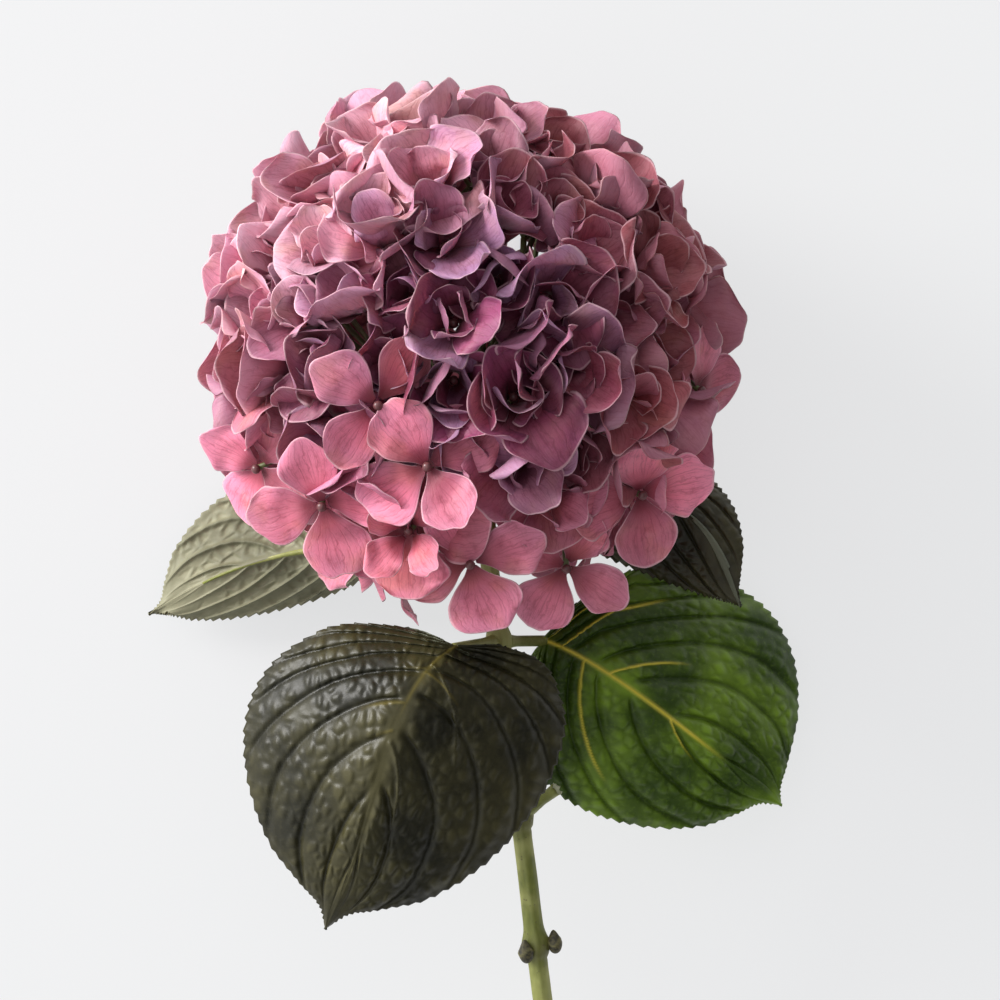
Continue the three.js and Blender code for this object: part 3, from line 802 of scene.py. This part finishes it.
def spread_out(directions, rounds=30, step=0.15):
    room = math.sqrt(4 * math.pi / len(directions))
    limit = math.cos(OPENING_HALF_ANGLE - FLORET_SPREAD)
    gap_side = np.array(opening)
    for _ in range(rounds):
        apart = directions[:, None] - directions[None, :]
        distance = np.linalg.norm(apart, axis=-1)
        near = (distance > 0) & (distance < room)
        push = np.where(near, (room - distance) / np.maximum(distance, 1e-9), 0)[..., None] * apart
        directions = unit(directions + step * push.sum(axis=1))
        excess = np.maximum(directions @ gap_side - limit, 0)
        directions = unit(directions - excess[:, None] * gap_side)
    return directions


floret_ways = spread_out(np.array([d for i in range(CYMES) for d in cyme_florets(i)]))
FLORETS = len(floret_ways)

# ---- Branches inside the head ------------------------------------------------------------------------
# The top of the stem divides into rays, and each ray into twigs, one for each cyme. They are
# soft and green, bow a little, and grew in one piece with the stem.

CYMES_PER_RAY = 6
RAY_SHARE = 0.5
RAY_RADIUS = 1.5 * MM
TWIG_RADIUS = 0.8 * MM


def shade_darkened_stalk_material():
    material = plain_material("shade_darkened_stalk", (0.32, 0.4, 0.14), 0.5)
    n = Nodes(material)
    cloud = n.noise(n.place(), 120.0, 3.0)
    # Painted shade: the green is painted dark, as shade inside the head, on the branches and the floret
    # stalks alike.
    n.put("Base Color", n.blend(cloud, (0.055, 0.06, 0.018), (0.15, 0.16, 0.05)))
    n.put("Normal", n.bump(n.noise(n.place(), 1500.0, 2.0), 0.2, 0.0002))
    return material


def bowed(start, end, bow, steps):
    """Points of a stalk from start to end that bows by the given vector halfway."""
    return [start.lerp(end, k / steps) + bow * math.sin(math.pi * k / steps) for k in range(steps + 1)]


cyme_ways = floret_ways.reshape(CYMES, CYME_FLORETS, 3)
cyme_axes = [Vector(unit(ways.mean(axis=0))) for ways in cyme_ways]
forks = [HEAD + axis * (HEAD_RADIUS - FORK_DEPTH) for axis in cyme_axes]
leads = forks[::CYMES_PER_RAY]
shade_darkened_stalk_green = shade_darkened_stalk_material()
branch_bm = bmesh.new()
for lead in leads:
    family = [fork for fork in forks if min(leads, key=lambda other: (other - fork).length) is lead]
    middle = sum(family, Vector()) / len(family)
    split = STEM_TOP.lerp(middle, RAY_SHARE)
    bow = (split - HEAD).normalized() * 2 * MM
    path = bowed(STEM_TOP - (split - STEM_TOP).normalized() * 1.5 * MM, split, bow, 10)
    add_tube(branch_bm, path, [RAY_RADIUS * (1.25 - 0.03 * k) for k in range(11)], 12)
    for fork in family:
        way = (fork - split).normalized()
        path = bowed(split - way * MM, fork, (fork - HEAD).normalized() * 1.5 * MM, 9)
        thick = [TWIG_RADIUS * (1.3 - 0.3 * math.sin(math.pi * k / 9)) for k in range(10)]
        add_tube(branch_bm, path, thick, 8)
branches = finish_mesh("flower_branches", branch_bm, shade_darkened_stalk_green)
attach(branches, "root")
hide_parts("branches")

# ---- Florets ----------------------------------------------------------------------------------------
# Each floret is a cup of papery sepals round one small bead, on its own thin stalk. The
# sepals unfold from small closed cups and push each other aside as they grow, so they end up
# crowded and creased as in a real head, while those at the lower edge lie open and flat.

ROWS = 9
COLUMNS = 8
GROWTH_STEPS = 44
SEPAL_LENGTH = 23.2
SEPAL_WIDTH = 24.5
SEAT_DEPTH = 24.5  # from the edge of the head down to a closed floret
OPEN_RISE = 12.5  # how much higher a wide open floret sits
FACING_SCATTER = 0.24
CROWN_WAY = np.array((-0.12, 0.02, 1.0))
CONTACT = 1.3 * MM
START_SIZE = 0.35
CLOSED_ANGLE = 0.45
STIFFNESS = 0.12
FLOOR_GAP = 0.5 * MM
LOWEST_SEAT = 5 * MM
LARGEST_MOVE = 1.6 * MM  # of any point in one step of growth
chance = np.random.default_rng(20)

toward_rim = floret_ways @ np.array(opening)
rimness = smooth(toward_rim, 0.25, 0.62)
openness = np.clip(chance.uniform(-0.1, 0.42, FLORETS) + rimness * 0.8, 0, 1)
seat_depth = SEAT_DEPTH - OPEN_RISE * openness + chance.uniform(-4.0, 5.0, FLORETS)
seat_radius = HEAD_RADIUS - seat_depth * MM
seats = head_middle + floret_ways * seat_radius[:, None]
facing = floret_ways.copy()
facing[:, 1] = np.where(facing[:, 1] < 0, facing[:, 1] * (1 - 0.7 * rimness), facing[:, 1])
scatter = chance.normal(0, FACING_SCATTER, (FLORETS, 3)) * (1 - 0.6 * rimness[:, None])
facing = unit(unit(facing) + scatter)
rolls = chance.uniform(0, math.pi / 2, FLORETS)

# The florets that lie wide open, most of them at the lower edge: where each sits from the
# middle of the head in millimetres, which way it faces, and how its cross of sepals is turned.
OPEN_FLORETS = [
    ((-41.9, -49.6, 47.0), (-0.15, -0.3, 1.0), 0.3),
    ((2.5, -67.0, 43.0), (0.0, -0.4, 1.0), 0.35),
    ((31.6, -68.4, 27.0), (0.1, -0.4, 1.0), 1.05),
    ((-25.0, -19.5, 66.0), (0.15, -0.35, 1.0), 0.9),
    ((-62.0, -38.0, 22.0), (-0.65, -0.35, 0.7), 0.5),
    ((54.0, -46.0, 30.0), (0.45, -0.35, 0.8), 0.8),
    ((72.0, -14.0, 12.0), (0.8, -0.25, 0.5), 0.3),
    ((-10.0, -38.0, 63.0), (-0.1, -0.1, 1.0), 0.6),
]
wide_open = np.zeros(FLORETS)
for place, way, roll in OPEN_FLORETS:
    place = np.array(place) * MM
    nearest = np.argmin(np.linalg.norm(seats - head_middle - place, axis=1) + wide_open)
    seats[nearest] = head_middle + place
    facing[nearest] = unit(np.array(way))
    rolls[nearest] = roll
    openness[nearest] = 1.0
    wide_open[nearest] = 1.0
seats[:, 2] = np.maximum(seats[:, 2], LOWEST_SEAT)

# The young florets of the crown are still packed: four smaller sepals stand inside the outer
# four, close round the bead.
crown = smooth(floret_ways @ unit(CROWN_WAY), 0.3, 0.8) * (1 - wide_open)
sepal_counts = np.where(crown > 0.2, 8, 4)
floret_of = np.repeat(np.arange(FLORETS), sepal_counts)
SEPALS = len(floret_of)
arm = np.concatenate([np.arange(count) for count in sepal_counts])
young = (arm >= 4).astype(float)
packed = crown[floret_of]
floret_size = chance.uniform(0.88, 1.12, FLORETS)[floret_of]
sepal_length = SEPAL_LENGTH * MM * floret_size * chance.uniform(0.86, 1.14, SEPALS)
sepal_width = SEPAL_WIDTH * MM * floret_size * chance.uniform(0.8, 1.14, SEPALS)
sepal_width = sepal_width * (1 - 0.17 * smooth(openness, 0.5, 1.0)[floret_of])
sepal_length = sepal_length * (1 - 0.08 * wide_open[floret_of])
sepal_length = sepal_length * (1 + 0.04 * packed) * (1 - 0.33 * young)
sepal_width = sepal_width * (1 + 0.05 * packed) * (1 - 0.33 * young)
sepal_open = 0.24 + 1.2 * openness[floret_of] + chance.normal(0, 0.17, SEPALS) + 0.16 * (arm % 2)
sepal_open = (sepal_open + 0.2 * packed) * (1 - 0.55 * young)
sepal_curl = chance.normal(0.15, 0.6, SEPALS) * (1 - 0.6 * openness[floret_of])
sepal_cup = chance.normal(0.2, 0.24, SEPALS) * (1 - 0.7 * openness[floret_of])
ruffle = chance.uniform(0.1, 0.42, SEPALS) * (1 - 0.6 * wide_open[floret_of])
ruffle_turns = chance.uniform(1.2, 2.9, SEPALS)
ruffle_shift = chance.uniform(0, 2 * math.pi, SEPALS)
lopside = chance.normal(0, 0.12, SEPALS)
nibbled = chance.normal(0, 0.046, (SEPALS, ROWS, 2))
tip_nibbled = chance.normal(0, 0.022, (SEPALS, COLUMNS))
notch = chance.uniform(0.0, 0.06, SEPALS)
point_tip = chance.uniform(0.0, 0.08, SEPALS)
stalk_gap = (1.0 + 0.5 * (arm % 2) + 0.9 * young) * MM
claw_rise = (1.2 * young - 0.8 * (arm % 2) * (1 - young)) * MM

# How wide a sepal is along its length, as a share of its greatest width.
WIDTH_PLACES = [0.0, 0.1, 0.2, 0.32, 0.45, 0.6, 0.75, 0.88, 1.0]
WIDTH_SHARES = [0.12, 0.19, 0.4, 0.66, 0.86, 0.98, 1.02, 0.93, 0.71]
a_share = np.linspace(0, 1, ROWS)
b_share = np.linspace(-1, 1, COLUMNS)
width_share = np.interp(a_share, WIDTH_PLACES, WIDTH_SHARES)


def floret_frames():
    frames = np.zeros((SEPALS, 3, 3))
    for s in range(SEPALS):
        way = facing[floret_of[s]]
        first, second = cross_frame(Vector(way))
        turn = rolls[floret_of[s]] + (arm[s] + 0.5 * young[s]) * math.pi / 2
        outward = np.array(first) * math.cos(turn) + np.array(second) * math.sin(turn)
        frames[s] = np.stack([outward, np.cross(way, outward), way], axis=1)
    return frames


axes = floret_frames()
base = seats[floret_of] + axes[:, :, 0] * stalk_gap[:, None] + axes[:, :, 2] * claw_rise[:, None]


def grown_sepals(size):
    """Every sepal's free shape when it has grown to the given share of its full size."""
    lean = CLOSED_ANGLE + (sepal_open - CLOSED_ANGLE) * size
    angle = lean[:, None] + (sepal_curl * size)[:, None] * a_share**2
    step = (sepal_length * size)[:, None] / (ROWS - 1)
    out = np.cumsum(np.sin(angle) * step, axis=1) - np.sin(angle[:, :1]) * step
    rise = np.cumsum(np.cos(angle) * step, axis=1) - np.cos(angle[:, :1]) * step
    half = (sepal_width * size**1.3 / 2)[:, None] * width_share
    b = b_share[None, None, :]
    a = a_share[None, :, None]
    uneven = np.where(b < 0, nibbled[:, :, :1], nibbled[:, :, 1:]) * np.abs(b) * a
    across = half[..., None] * (b * (1 + uneven) + lopside[:, None, None] * (1 - b**2) * a)
    back = (sepal_length * size)[:, None, None] * (
        0.16 * np.abs(b) ** 2.0 * a
        + notch[:, None, None] * np.exp(-((b / 0.3) ** 2)) * a**8
        - point_tip[:, None, None] * np.exp(-((b / 0.35) ** 2)) * a**5
        + tip_nibbled[:, None, :] * a**6
    )
    wave = ruffle[:, None, None] * np.abs(b) ** 2.5 * np.sin(
        2 * math.pi * ruffle_turns[:, None, None] * a + ruffle_shift[:, None, None] + 1.3 * np.sign(b)
    )
    lift = half[..., None] * (sepal_cup[:, None, None] * b**2 + wave * a - 0.05 * np.exp(-((b / 0.3) ** 2)))
    sine, cosine = np.sin(angle)[..., None], np.cos(angle)[..., None]
    x = out[..., None] - back * sine - lift * cosine
    z = rise[..., None] - back * cosine + lift * sine
    local = np.stack([x, across, z], axis=-1)
    return base[:, None, None, :] + np.einsum("sij,srcj->srci", axes, local)


# How strongly a sepal keeps its lengths between points so many rows and columns apart.
TIES = [(1, 0, 1.0), (0, 1, 1.0), (1, 1, 0.6), (1, -1, 0.6), (2, 0, 0.35), (0, 2, 0.35)]


def tied(grid, rows, columns):
    """The two ends of every tie of one kind."""
    height, width = grid.shape[1], grid.shape[2]
    if columns < 0:
        return grid[:, : height - rows, -columns:], grid[:, rows:, : width + columns]
    return grid[:, : height - rows, : width - columns], grid[:, rows:, columns:]


tie_load = np.zeros((1, ROWS, COLUMNS, 1))
for rows, columns, strength in TIES:
    for end in tied(tie_load, rows, columns):
        end += strength


def keep_lengths(points, goal, passes):
    """Sepals bend but do not stretch: points moved until their spacing is that of the goal."""
    rests = []
    for rows, columns, strength in TIES:
        first, second = tied(goal, rows, columns)
        rests.append(np.linalg.norm(second - first, axis=-1, keepdims=True))
    for _ in range(passes):
        shift = np.zeros_like(points)
        for (rows, columns, strength), rest in zip(TIES, rests):
            first, second = tied(points, rows, columns)
            span = second - first
            length = np.maximum(np.linalg.norm(span, axis=-1, keepdims=True), 1e-9)
            move = span * ((length - rest) / length * 0.5 * strength)
            first_shift, second_shift = tied(shift, rows, columns)
            first_shift += move
            second_shift -= move
        points = points + shift / tie_load * 1.7
        points[:, 0] = goal[:, 0]
        points[:, 1] = 0.5 * (points[:, 1] + goal[:, 1])
    return points


quads = []
for s in range(SEPALS):
    for r in range(ROWS - 1):
        for c in range(COLUMNS - 1):
            k = (s * ROWS + r) * COLUMNS + c
            quads.append((k, k + 1, k + 1 + COLUMNS, k + COLUMNS))
CELLS = (ROWS - 1) * (COLUMNS - 1)
POINTS = ROWS * COLUMNS
SEPAL_QUADS = len(quads)


def fixed_shapes():
    """Corners and faces of the stem and leaves, which the florets must not enter."""
    corners, faces = [], []
    for name in ["stem", *LEAVES]:
        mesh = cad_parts[name].data
        start = len(corners)
        corners.extend(tuple(v.co) for v in mesh.vertices)
        faces.extend(tuple(start + k for k in p.vertices) for p in mesh.polygons)
    return corners, faces


still_corners, still_faces = fixed_shapes()
still_quads = [tuple(k + SEPALS * POINTS for k in face) for face in still_faces]


def crowd_push(points):
    """How far each point is pushed out of the way of other sepals, the stem and the leaves."""
    corners = points.reshape(-1, 3).tolist() + still_corners
    tree = BVHTree.FromPolygons(corners, quads + still_quads, epsilon=0.0)
    push = np.zeros((SEPALS * POINTS, 3))
    find = tree.find_nearest_range
    floret_list = floret_of.tolist()
    for index in range(SEPALS * POINTS):
        row_number = (index // COLUMNS) % ROWS
        if row_number < 2:
            continue
        own = index // POINTS
        spot = Vector(corners[index])
        total = None
        count = 0
        for place, _, face, gap in find(spot, CONTACT):
            other = face // CELLS if face < SEPAL_QUADS else -1
            if other == own or gap < 1e-7:
                continue
            if other >= 0 and floret_list[other] == floret_list[own] and row_number < 3:
                continue
            away = (spot - place) * ((CONTACT - gap) / gap)
            total = away if total is None else total + away
            count += 1
        if count:
            push[index] = total * (0.7 / count)
    return push.reshape(points.shape)


def limited(move, most):
    length = np.maximum(np.linalg.norm(move, axis=-1, keepdims=True), 1e-12)
    return move * np.minimum(1.0, most / length)


points = grown_sepals(START_SIZE)
for step in range(1, GROWTH_STEPS + 1):
    size = START_SIZE + (1 - START_SIZE) * min(1.0, step / (0.85 * GROWTH_STEPS))
    goal = grown_sepals(size)
    before = points
    points = points + STIFFNESS * (goal - points)
    points = keep_lengths(points, goal, 6)
    points = points + crowd_push(points)
    points = keep_lengths(points, goal, 2)
    points = before + limited(points - before, LARGEST_MOVE)
    points[..., 2] = np.maximum(points[..., 2], FLOOR_GAP)

SEPAL_THICKNESS = 0.22 * MM
BEAD_RADIUS = 1.6 * MM
PEDICEL_RADIUS = 0.65 * MM
PALE_PATCH = (0.62, 0.3, 0.36)
ROSE = np.array((0.53, 0.135, 0.2))
MAUVE = np.array((0.36, 0.12, 0.22))
BLUSH_AND_LIGHT = np.array((0.88, 0.42, 0.5))
PLUM = np.array((0.18, 0.024, 0.078))
LILAC = np.array((0.44, 0.2, 0.34))
BURGUNDY = np.array((0.31, 0.055, 0.07))
SALMON = np.array((0.4, 0.09, 0.09))
HEART = (0.06, 0.012, 0.02)  # what a sepal darkens to towards its claw
PALE_RIM_AND_HIGHLIGHT = (0.78, 0.47, 0.52)
PALE_BACK = (0.55, 0.3, 0.43)


def sepal_material(name, back):
    material = plain_material(name, (0.5, 0.2, 0.28), 0.6)
    n = Nodes(material)
    uv = n.uv()
    parts = n.add("ShaderNodeSeparateXYZ", Vector=uv).node
    across, along = parts.outputs[0], parts.outputs[1]
    away = n.maths("ABSOLUTE", n.maths("MULTIPLY", n.maths("SUBTRACT", across, 0.5), 2.0))
    warp = n.noise(n.stretch(uv, (4.0, 5.0, 1.0)), 1.0, 4.0)
    # Main veins spread from the claw; finer ones branch between them towards the rim.
    spread = n.maths("ADD", n.maths("MULTIPLY", across, 7.0), n.maths("MULTIPLY", warp, 1.6))
    main = n.maths("ABSOLUTE", n.maths("SUBTRACT", n.maths("FRACT", spread), 0.5))
    main = n.maths("SUBTRACT", 1.0, n.band(main, 0.0, 0.11), clamp=True)
    net = n.add(
        "ShaderNodeTexVoronoi",
        settings={"feature": "DISTANCE_TO_EDGE"},
        Vector=n.stretch(uv, (24.0, 12.0, 1.0)),
        Scale=1.0,
    )
    fine = n.maths("SUBTRACT", 1.0, n.band(net, 0.0, 0.1), clamp=True)
    veins = n.maths("MAXIMUM", n.maths("MULTIPLY", main, 0.75), n.maths("MULTIPLY", fine, 0.22))
    streaks = n.noise(n.stretch(uv, (26.0, 2.2, 1.0)), 1.0, 4.0, 0.6)
    russet = n.noise(n.place(), 75.0, 3.0, 0.5)
    rim = n.maths("MAXIMUM", n.band(away, 0.96, 1.0), n.band(along, 0.97, 1.0))
    edge = n.maths("MAXIMUM", n.band(away, 0.35, 1.0), n.band(along, 0.5, 1.0))
    cloud = n.noise(n.place(), 110.0, 4.0, 0.6)
    blotch = n.noise(n.place(), 260.0, 5.0, 0.65)
    tint = n.attribute("tint", output=0)
    mauve = n.blend(1.0, tint, (0.95, 1.22, 1.25), "MULTIPLY")
    colour = n.blend(n.maths("MULTIPLY", edge, 0.75), tint, mauve)
    colour = n.blend(n.maths("MULTIPLY", n.band(cloud, 0.4, 0.72), 0.16), colour, PALE_PATCH)
    tanned = n.blend(1.0, colour, (0.95, 1.0, 0.62), "MULTIPLY")
    colour = n.blend(n.maths("MULTIPLY", n.band(russet, 0.48, 0.68), 0.5), colour, tanned)
    deep = n.blend(1.0, colour, (0.36, 0.17, 0.2), "MULTIPLY")
    if back:
        colour = n.blend(0.3, colour, PALE_BACK)
        deep = n.blend(1.0, colour, (0.6, 0.4, 0.46), "MULTIPLY")
    # Darker towards the claw.
    base = n.maths("SUBTRACT", 1.0, n.band(along, 0.0, 0.6), clamp=True)
    colour = n.blend(base, colour, deep)
    heart = n.maths("SUBTRACT", 1.0, n.band(along, 0.0, 0.3), clamp=True)
    colour = n.blend(n.maths("MULTIPLY", heart, 0.55), colour, HEART)
    colour = n.blend(n.maths("MULTIPLY", n.band(blotch, 0.5, 0.75), 0.45), colour, deep)
    colour = n.blend(n.maths("MULTIPLY", veins, 0.22 if back else 0.4), colour, deep)
    colour = n.blend(n.maths("MULTIPLY", n.band(streaks, 0.48, 0.7), 0.4), colour, deep)
    # Partly painted highlight: the pale rim is also the light caught by each sepal's edge.
    colour = n.blend(n.maths("MULTIPLY", rim, 0.45), colour, PALE_RIM_AND_HIGHLIGHT)
    n.put("Base Color", colour)
    n.put("Roughness", 0.5)
    n.put("Specular IOR Level", 0.3)
    n.put("Sheen Weight", 0.04)
    n.put("Subsurface Weight", 0.12)
    n.put("Subsurface Radius", (0.004, 0.0015, 0.0015))
    n.put("Subsurface Scale", 1.0)
    crease = n.maths("ADD", n.maths("MULTIPLY", veins, -0.6), n.maths("MULTIPLY", blotch, 1.5))
    n.put("Normal", n.bump(crease, 0.35, 0.0004))
    return material


def bead_material():
    material = plain_material("floret_bead", (0.09, 0.02, 0.03), 0.35)
    n = Nodes(material)
    mottle = n.noise(n.place(), 1500.0, 2.0)
    n.put("Base Color", n.blend(mottle, (0.05, 0.012, 0.018), (0.2, 0.07, 0.07)))
    return material


def sepal_tints():
    """Rose on the side towards the lamp and burgundy on the other, partly the sepals' own colour and partly
    painted light and shade, plum in the middle.
    """
    way = unit(points.mean(axis=(1, 2)) - head_middle)
    # Painted light and shade in part: the share of rose grows on the side that faces the lamp.
    lamp_side_light_and_pigment = smooth(-0.9 * way[:, 0] + 0.45 * way[:, 1], -0.4, 0.75)[:, None]
    middle = (smooth(way @ unit(CROWN_WAY), 0.55, 0.93) * (1 - rimness[floret_of]))[:, None]
    # Partly painted light: sepals towards the lamp, up and to the left, are paled to blush pink.
    lamp_side_blush_and_light = smooth(way @ unit(np.array((-0.7, 0.75, 0.25))), 0.45, 0.95)[:, None]
    own = chance.uniform(0, 1, FLORETS)[floret_of][:, None]
    tint = BURGUNDY * (1 - lamp_side_light_and_pigment) + ROSE * lamp_side_light_and_pigment
    tint = tint * (1 - 0.35 * own) + SALMON * 0.35 * own
    mauve_share = 0.5 * (chance.uniform(0, 1, FLORETS) ** 1.5)[floret_of][:, None]
    tint = tint * (1 - mauve_share) + MAUVE * mauve_share
    tint = tint * (1 - 0.8 * middle) + PLUM * 0.8 * middle
    lilac = 1.3 * (chance.uniform(0, 1, SEPALS) > 0.8 - 0.12 * young).astype(float)[:, None] * middle * 0.6
    tint = tint * (1 - lilac) + LILAC * lilac
    lamp_side_blush_and_light = 0.8 * lamp_side_blush_and_light * chance.uniform(0.3, 1.1, SEPALS)[:, None]
    tint = tint * (1 - lamp_side_blush_and_light) + BLUSH_AND_LIGHT * lamp_side_blush_and_light
    # Partly painted light: the open florets at the rim are brightened to a light rose, which also lifts
    # their shade.
    hanging_tint_and_light = np.maximum(0.4 * rimness, 0.65 * wide_open)[floret_of][:, None]
    tint = tint * (1 - hanging_tint_and_light) + ROSE * 1.9 * hanging_tint_and_light
    return tint * chance.uniform(0.68, 1.45, SEPALS)[:, None]


tints = sepal_tints()
sepal_face = sepal_material("sepal_face", False)
sepal_back = sepal_material("sepal_back", True)
bead_skin = bead_material()


def add_sepal(bm, number, uv_layer, tint_layer):
    grid = bmesh.ops.create_grid(bm, x_segments=COLUMNS - 1, y_segments=ROWS - 1, size=1.0)
    tint = (*tints[number], 1.0)
    shape = points[number]
    shares = {}
    for corner in grid["verts"]:
        c = round((corner.co.x + 1) / 2 * (COLUMNS - 1))
        r = round((corner.co.y + 1) / 2 * (ROWS - 1))
        shares[corner] = (c / (COLUMNS - 1), r / (ROWS - 1))
        corner.co = shape[r, c]
        corner[tint_layer] = tint
    faces = list({face for corner in grid["verts"] for face in corner.link_faces})
    bmesh.ops.reverse_faces(bm, faces=faces)
    for face in faces:
        face.smooth = True
        for loop in face.loops:
            loop[uv_layer].uv = shares[loop.vert]


def add_bead(bm, floret):
    middle = seats[floret] + facing[floret] * 1.6 * MM
    ball = bmesh.ops.create_icosphere(bm, subdivisions=2, radius=BEAD_RADIUS)
    axis = Vector(facing[floret])
    for corner in ball["verts"]:
        height = corner.co.normalized().dot(axis)
        corner.co = Vector(middle) + corner.co * (1 - 0.12 * abs(height)) + axis * 0.2 * MM
    for face in {face for corner in ball["verts"] for face in corner.link_faces}:
        face.smooth = True
        face.material_index = 0


for number, node_name in enumerate(cyme_nodes):
    petals_bm = bmesh.new()
    uv_layer = petals_bm.loops.layers.uv.verify()
    tint_layer = petals_bm.verts.layers.float_color.new("tint")
    stalks_bm = bmesh.new()
    for floret in range(CYME_FLORETS * number, CYME_FLORETS * (number + 1)):
        for sepal in np.flatnonzero(floret_of == floret):
            add_sepal(petals_bm, sepal, uv_layer, tint_layer)
        add_bead(stalks_bm, floret)
        start = forks[number]
        end = Vector(seats[floret]) + Vector(facing[floret]) * 0.6 * MM
        bow = (start - HEAD).normalized() * 1.2 * MM
        path = bowed(start, end, bow, 6)
        thick = [PEDICEL_RADIUS * (1 + 0.5 * (k / 6) ** 3) for k in range(7)]
        add_tube(stalks_bm, path, thick, 6, material=1)
    sepals = finish_mesh("sepals_" + node_name[-2:], petals_bm, sepal_face, sepal_back)
    wall = sepals.modifiers.new("sheet", "SOLIDIFY")
    wall.thickness = SEPAL_THICKNESS
    wall.offset = -1.0
    wall.material_offset = 1
    rounded = sepals.modifiers.new("rounded", "SUBSURF")
    rounded.levels = 1
    rounded.render_levels = 1
    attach(sepals, "root")
    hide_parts(node_name)
    hearts = finish_mesh("hearts_" + node_name[-2:], stalks_bm, bead_skin, shade_darkened_stalk_green)
    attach(hearts, "root")
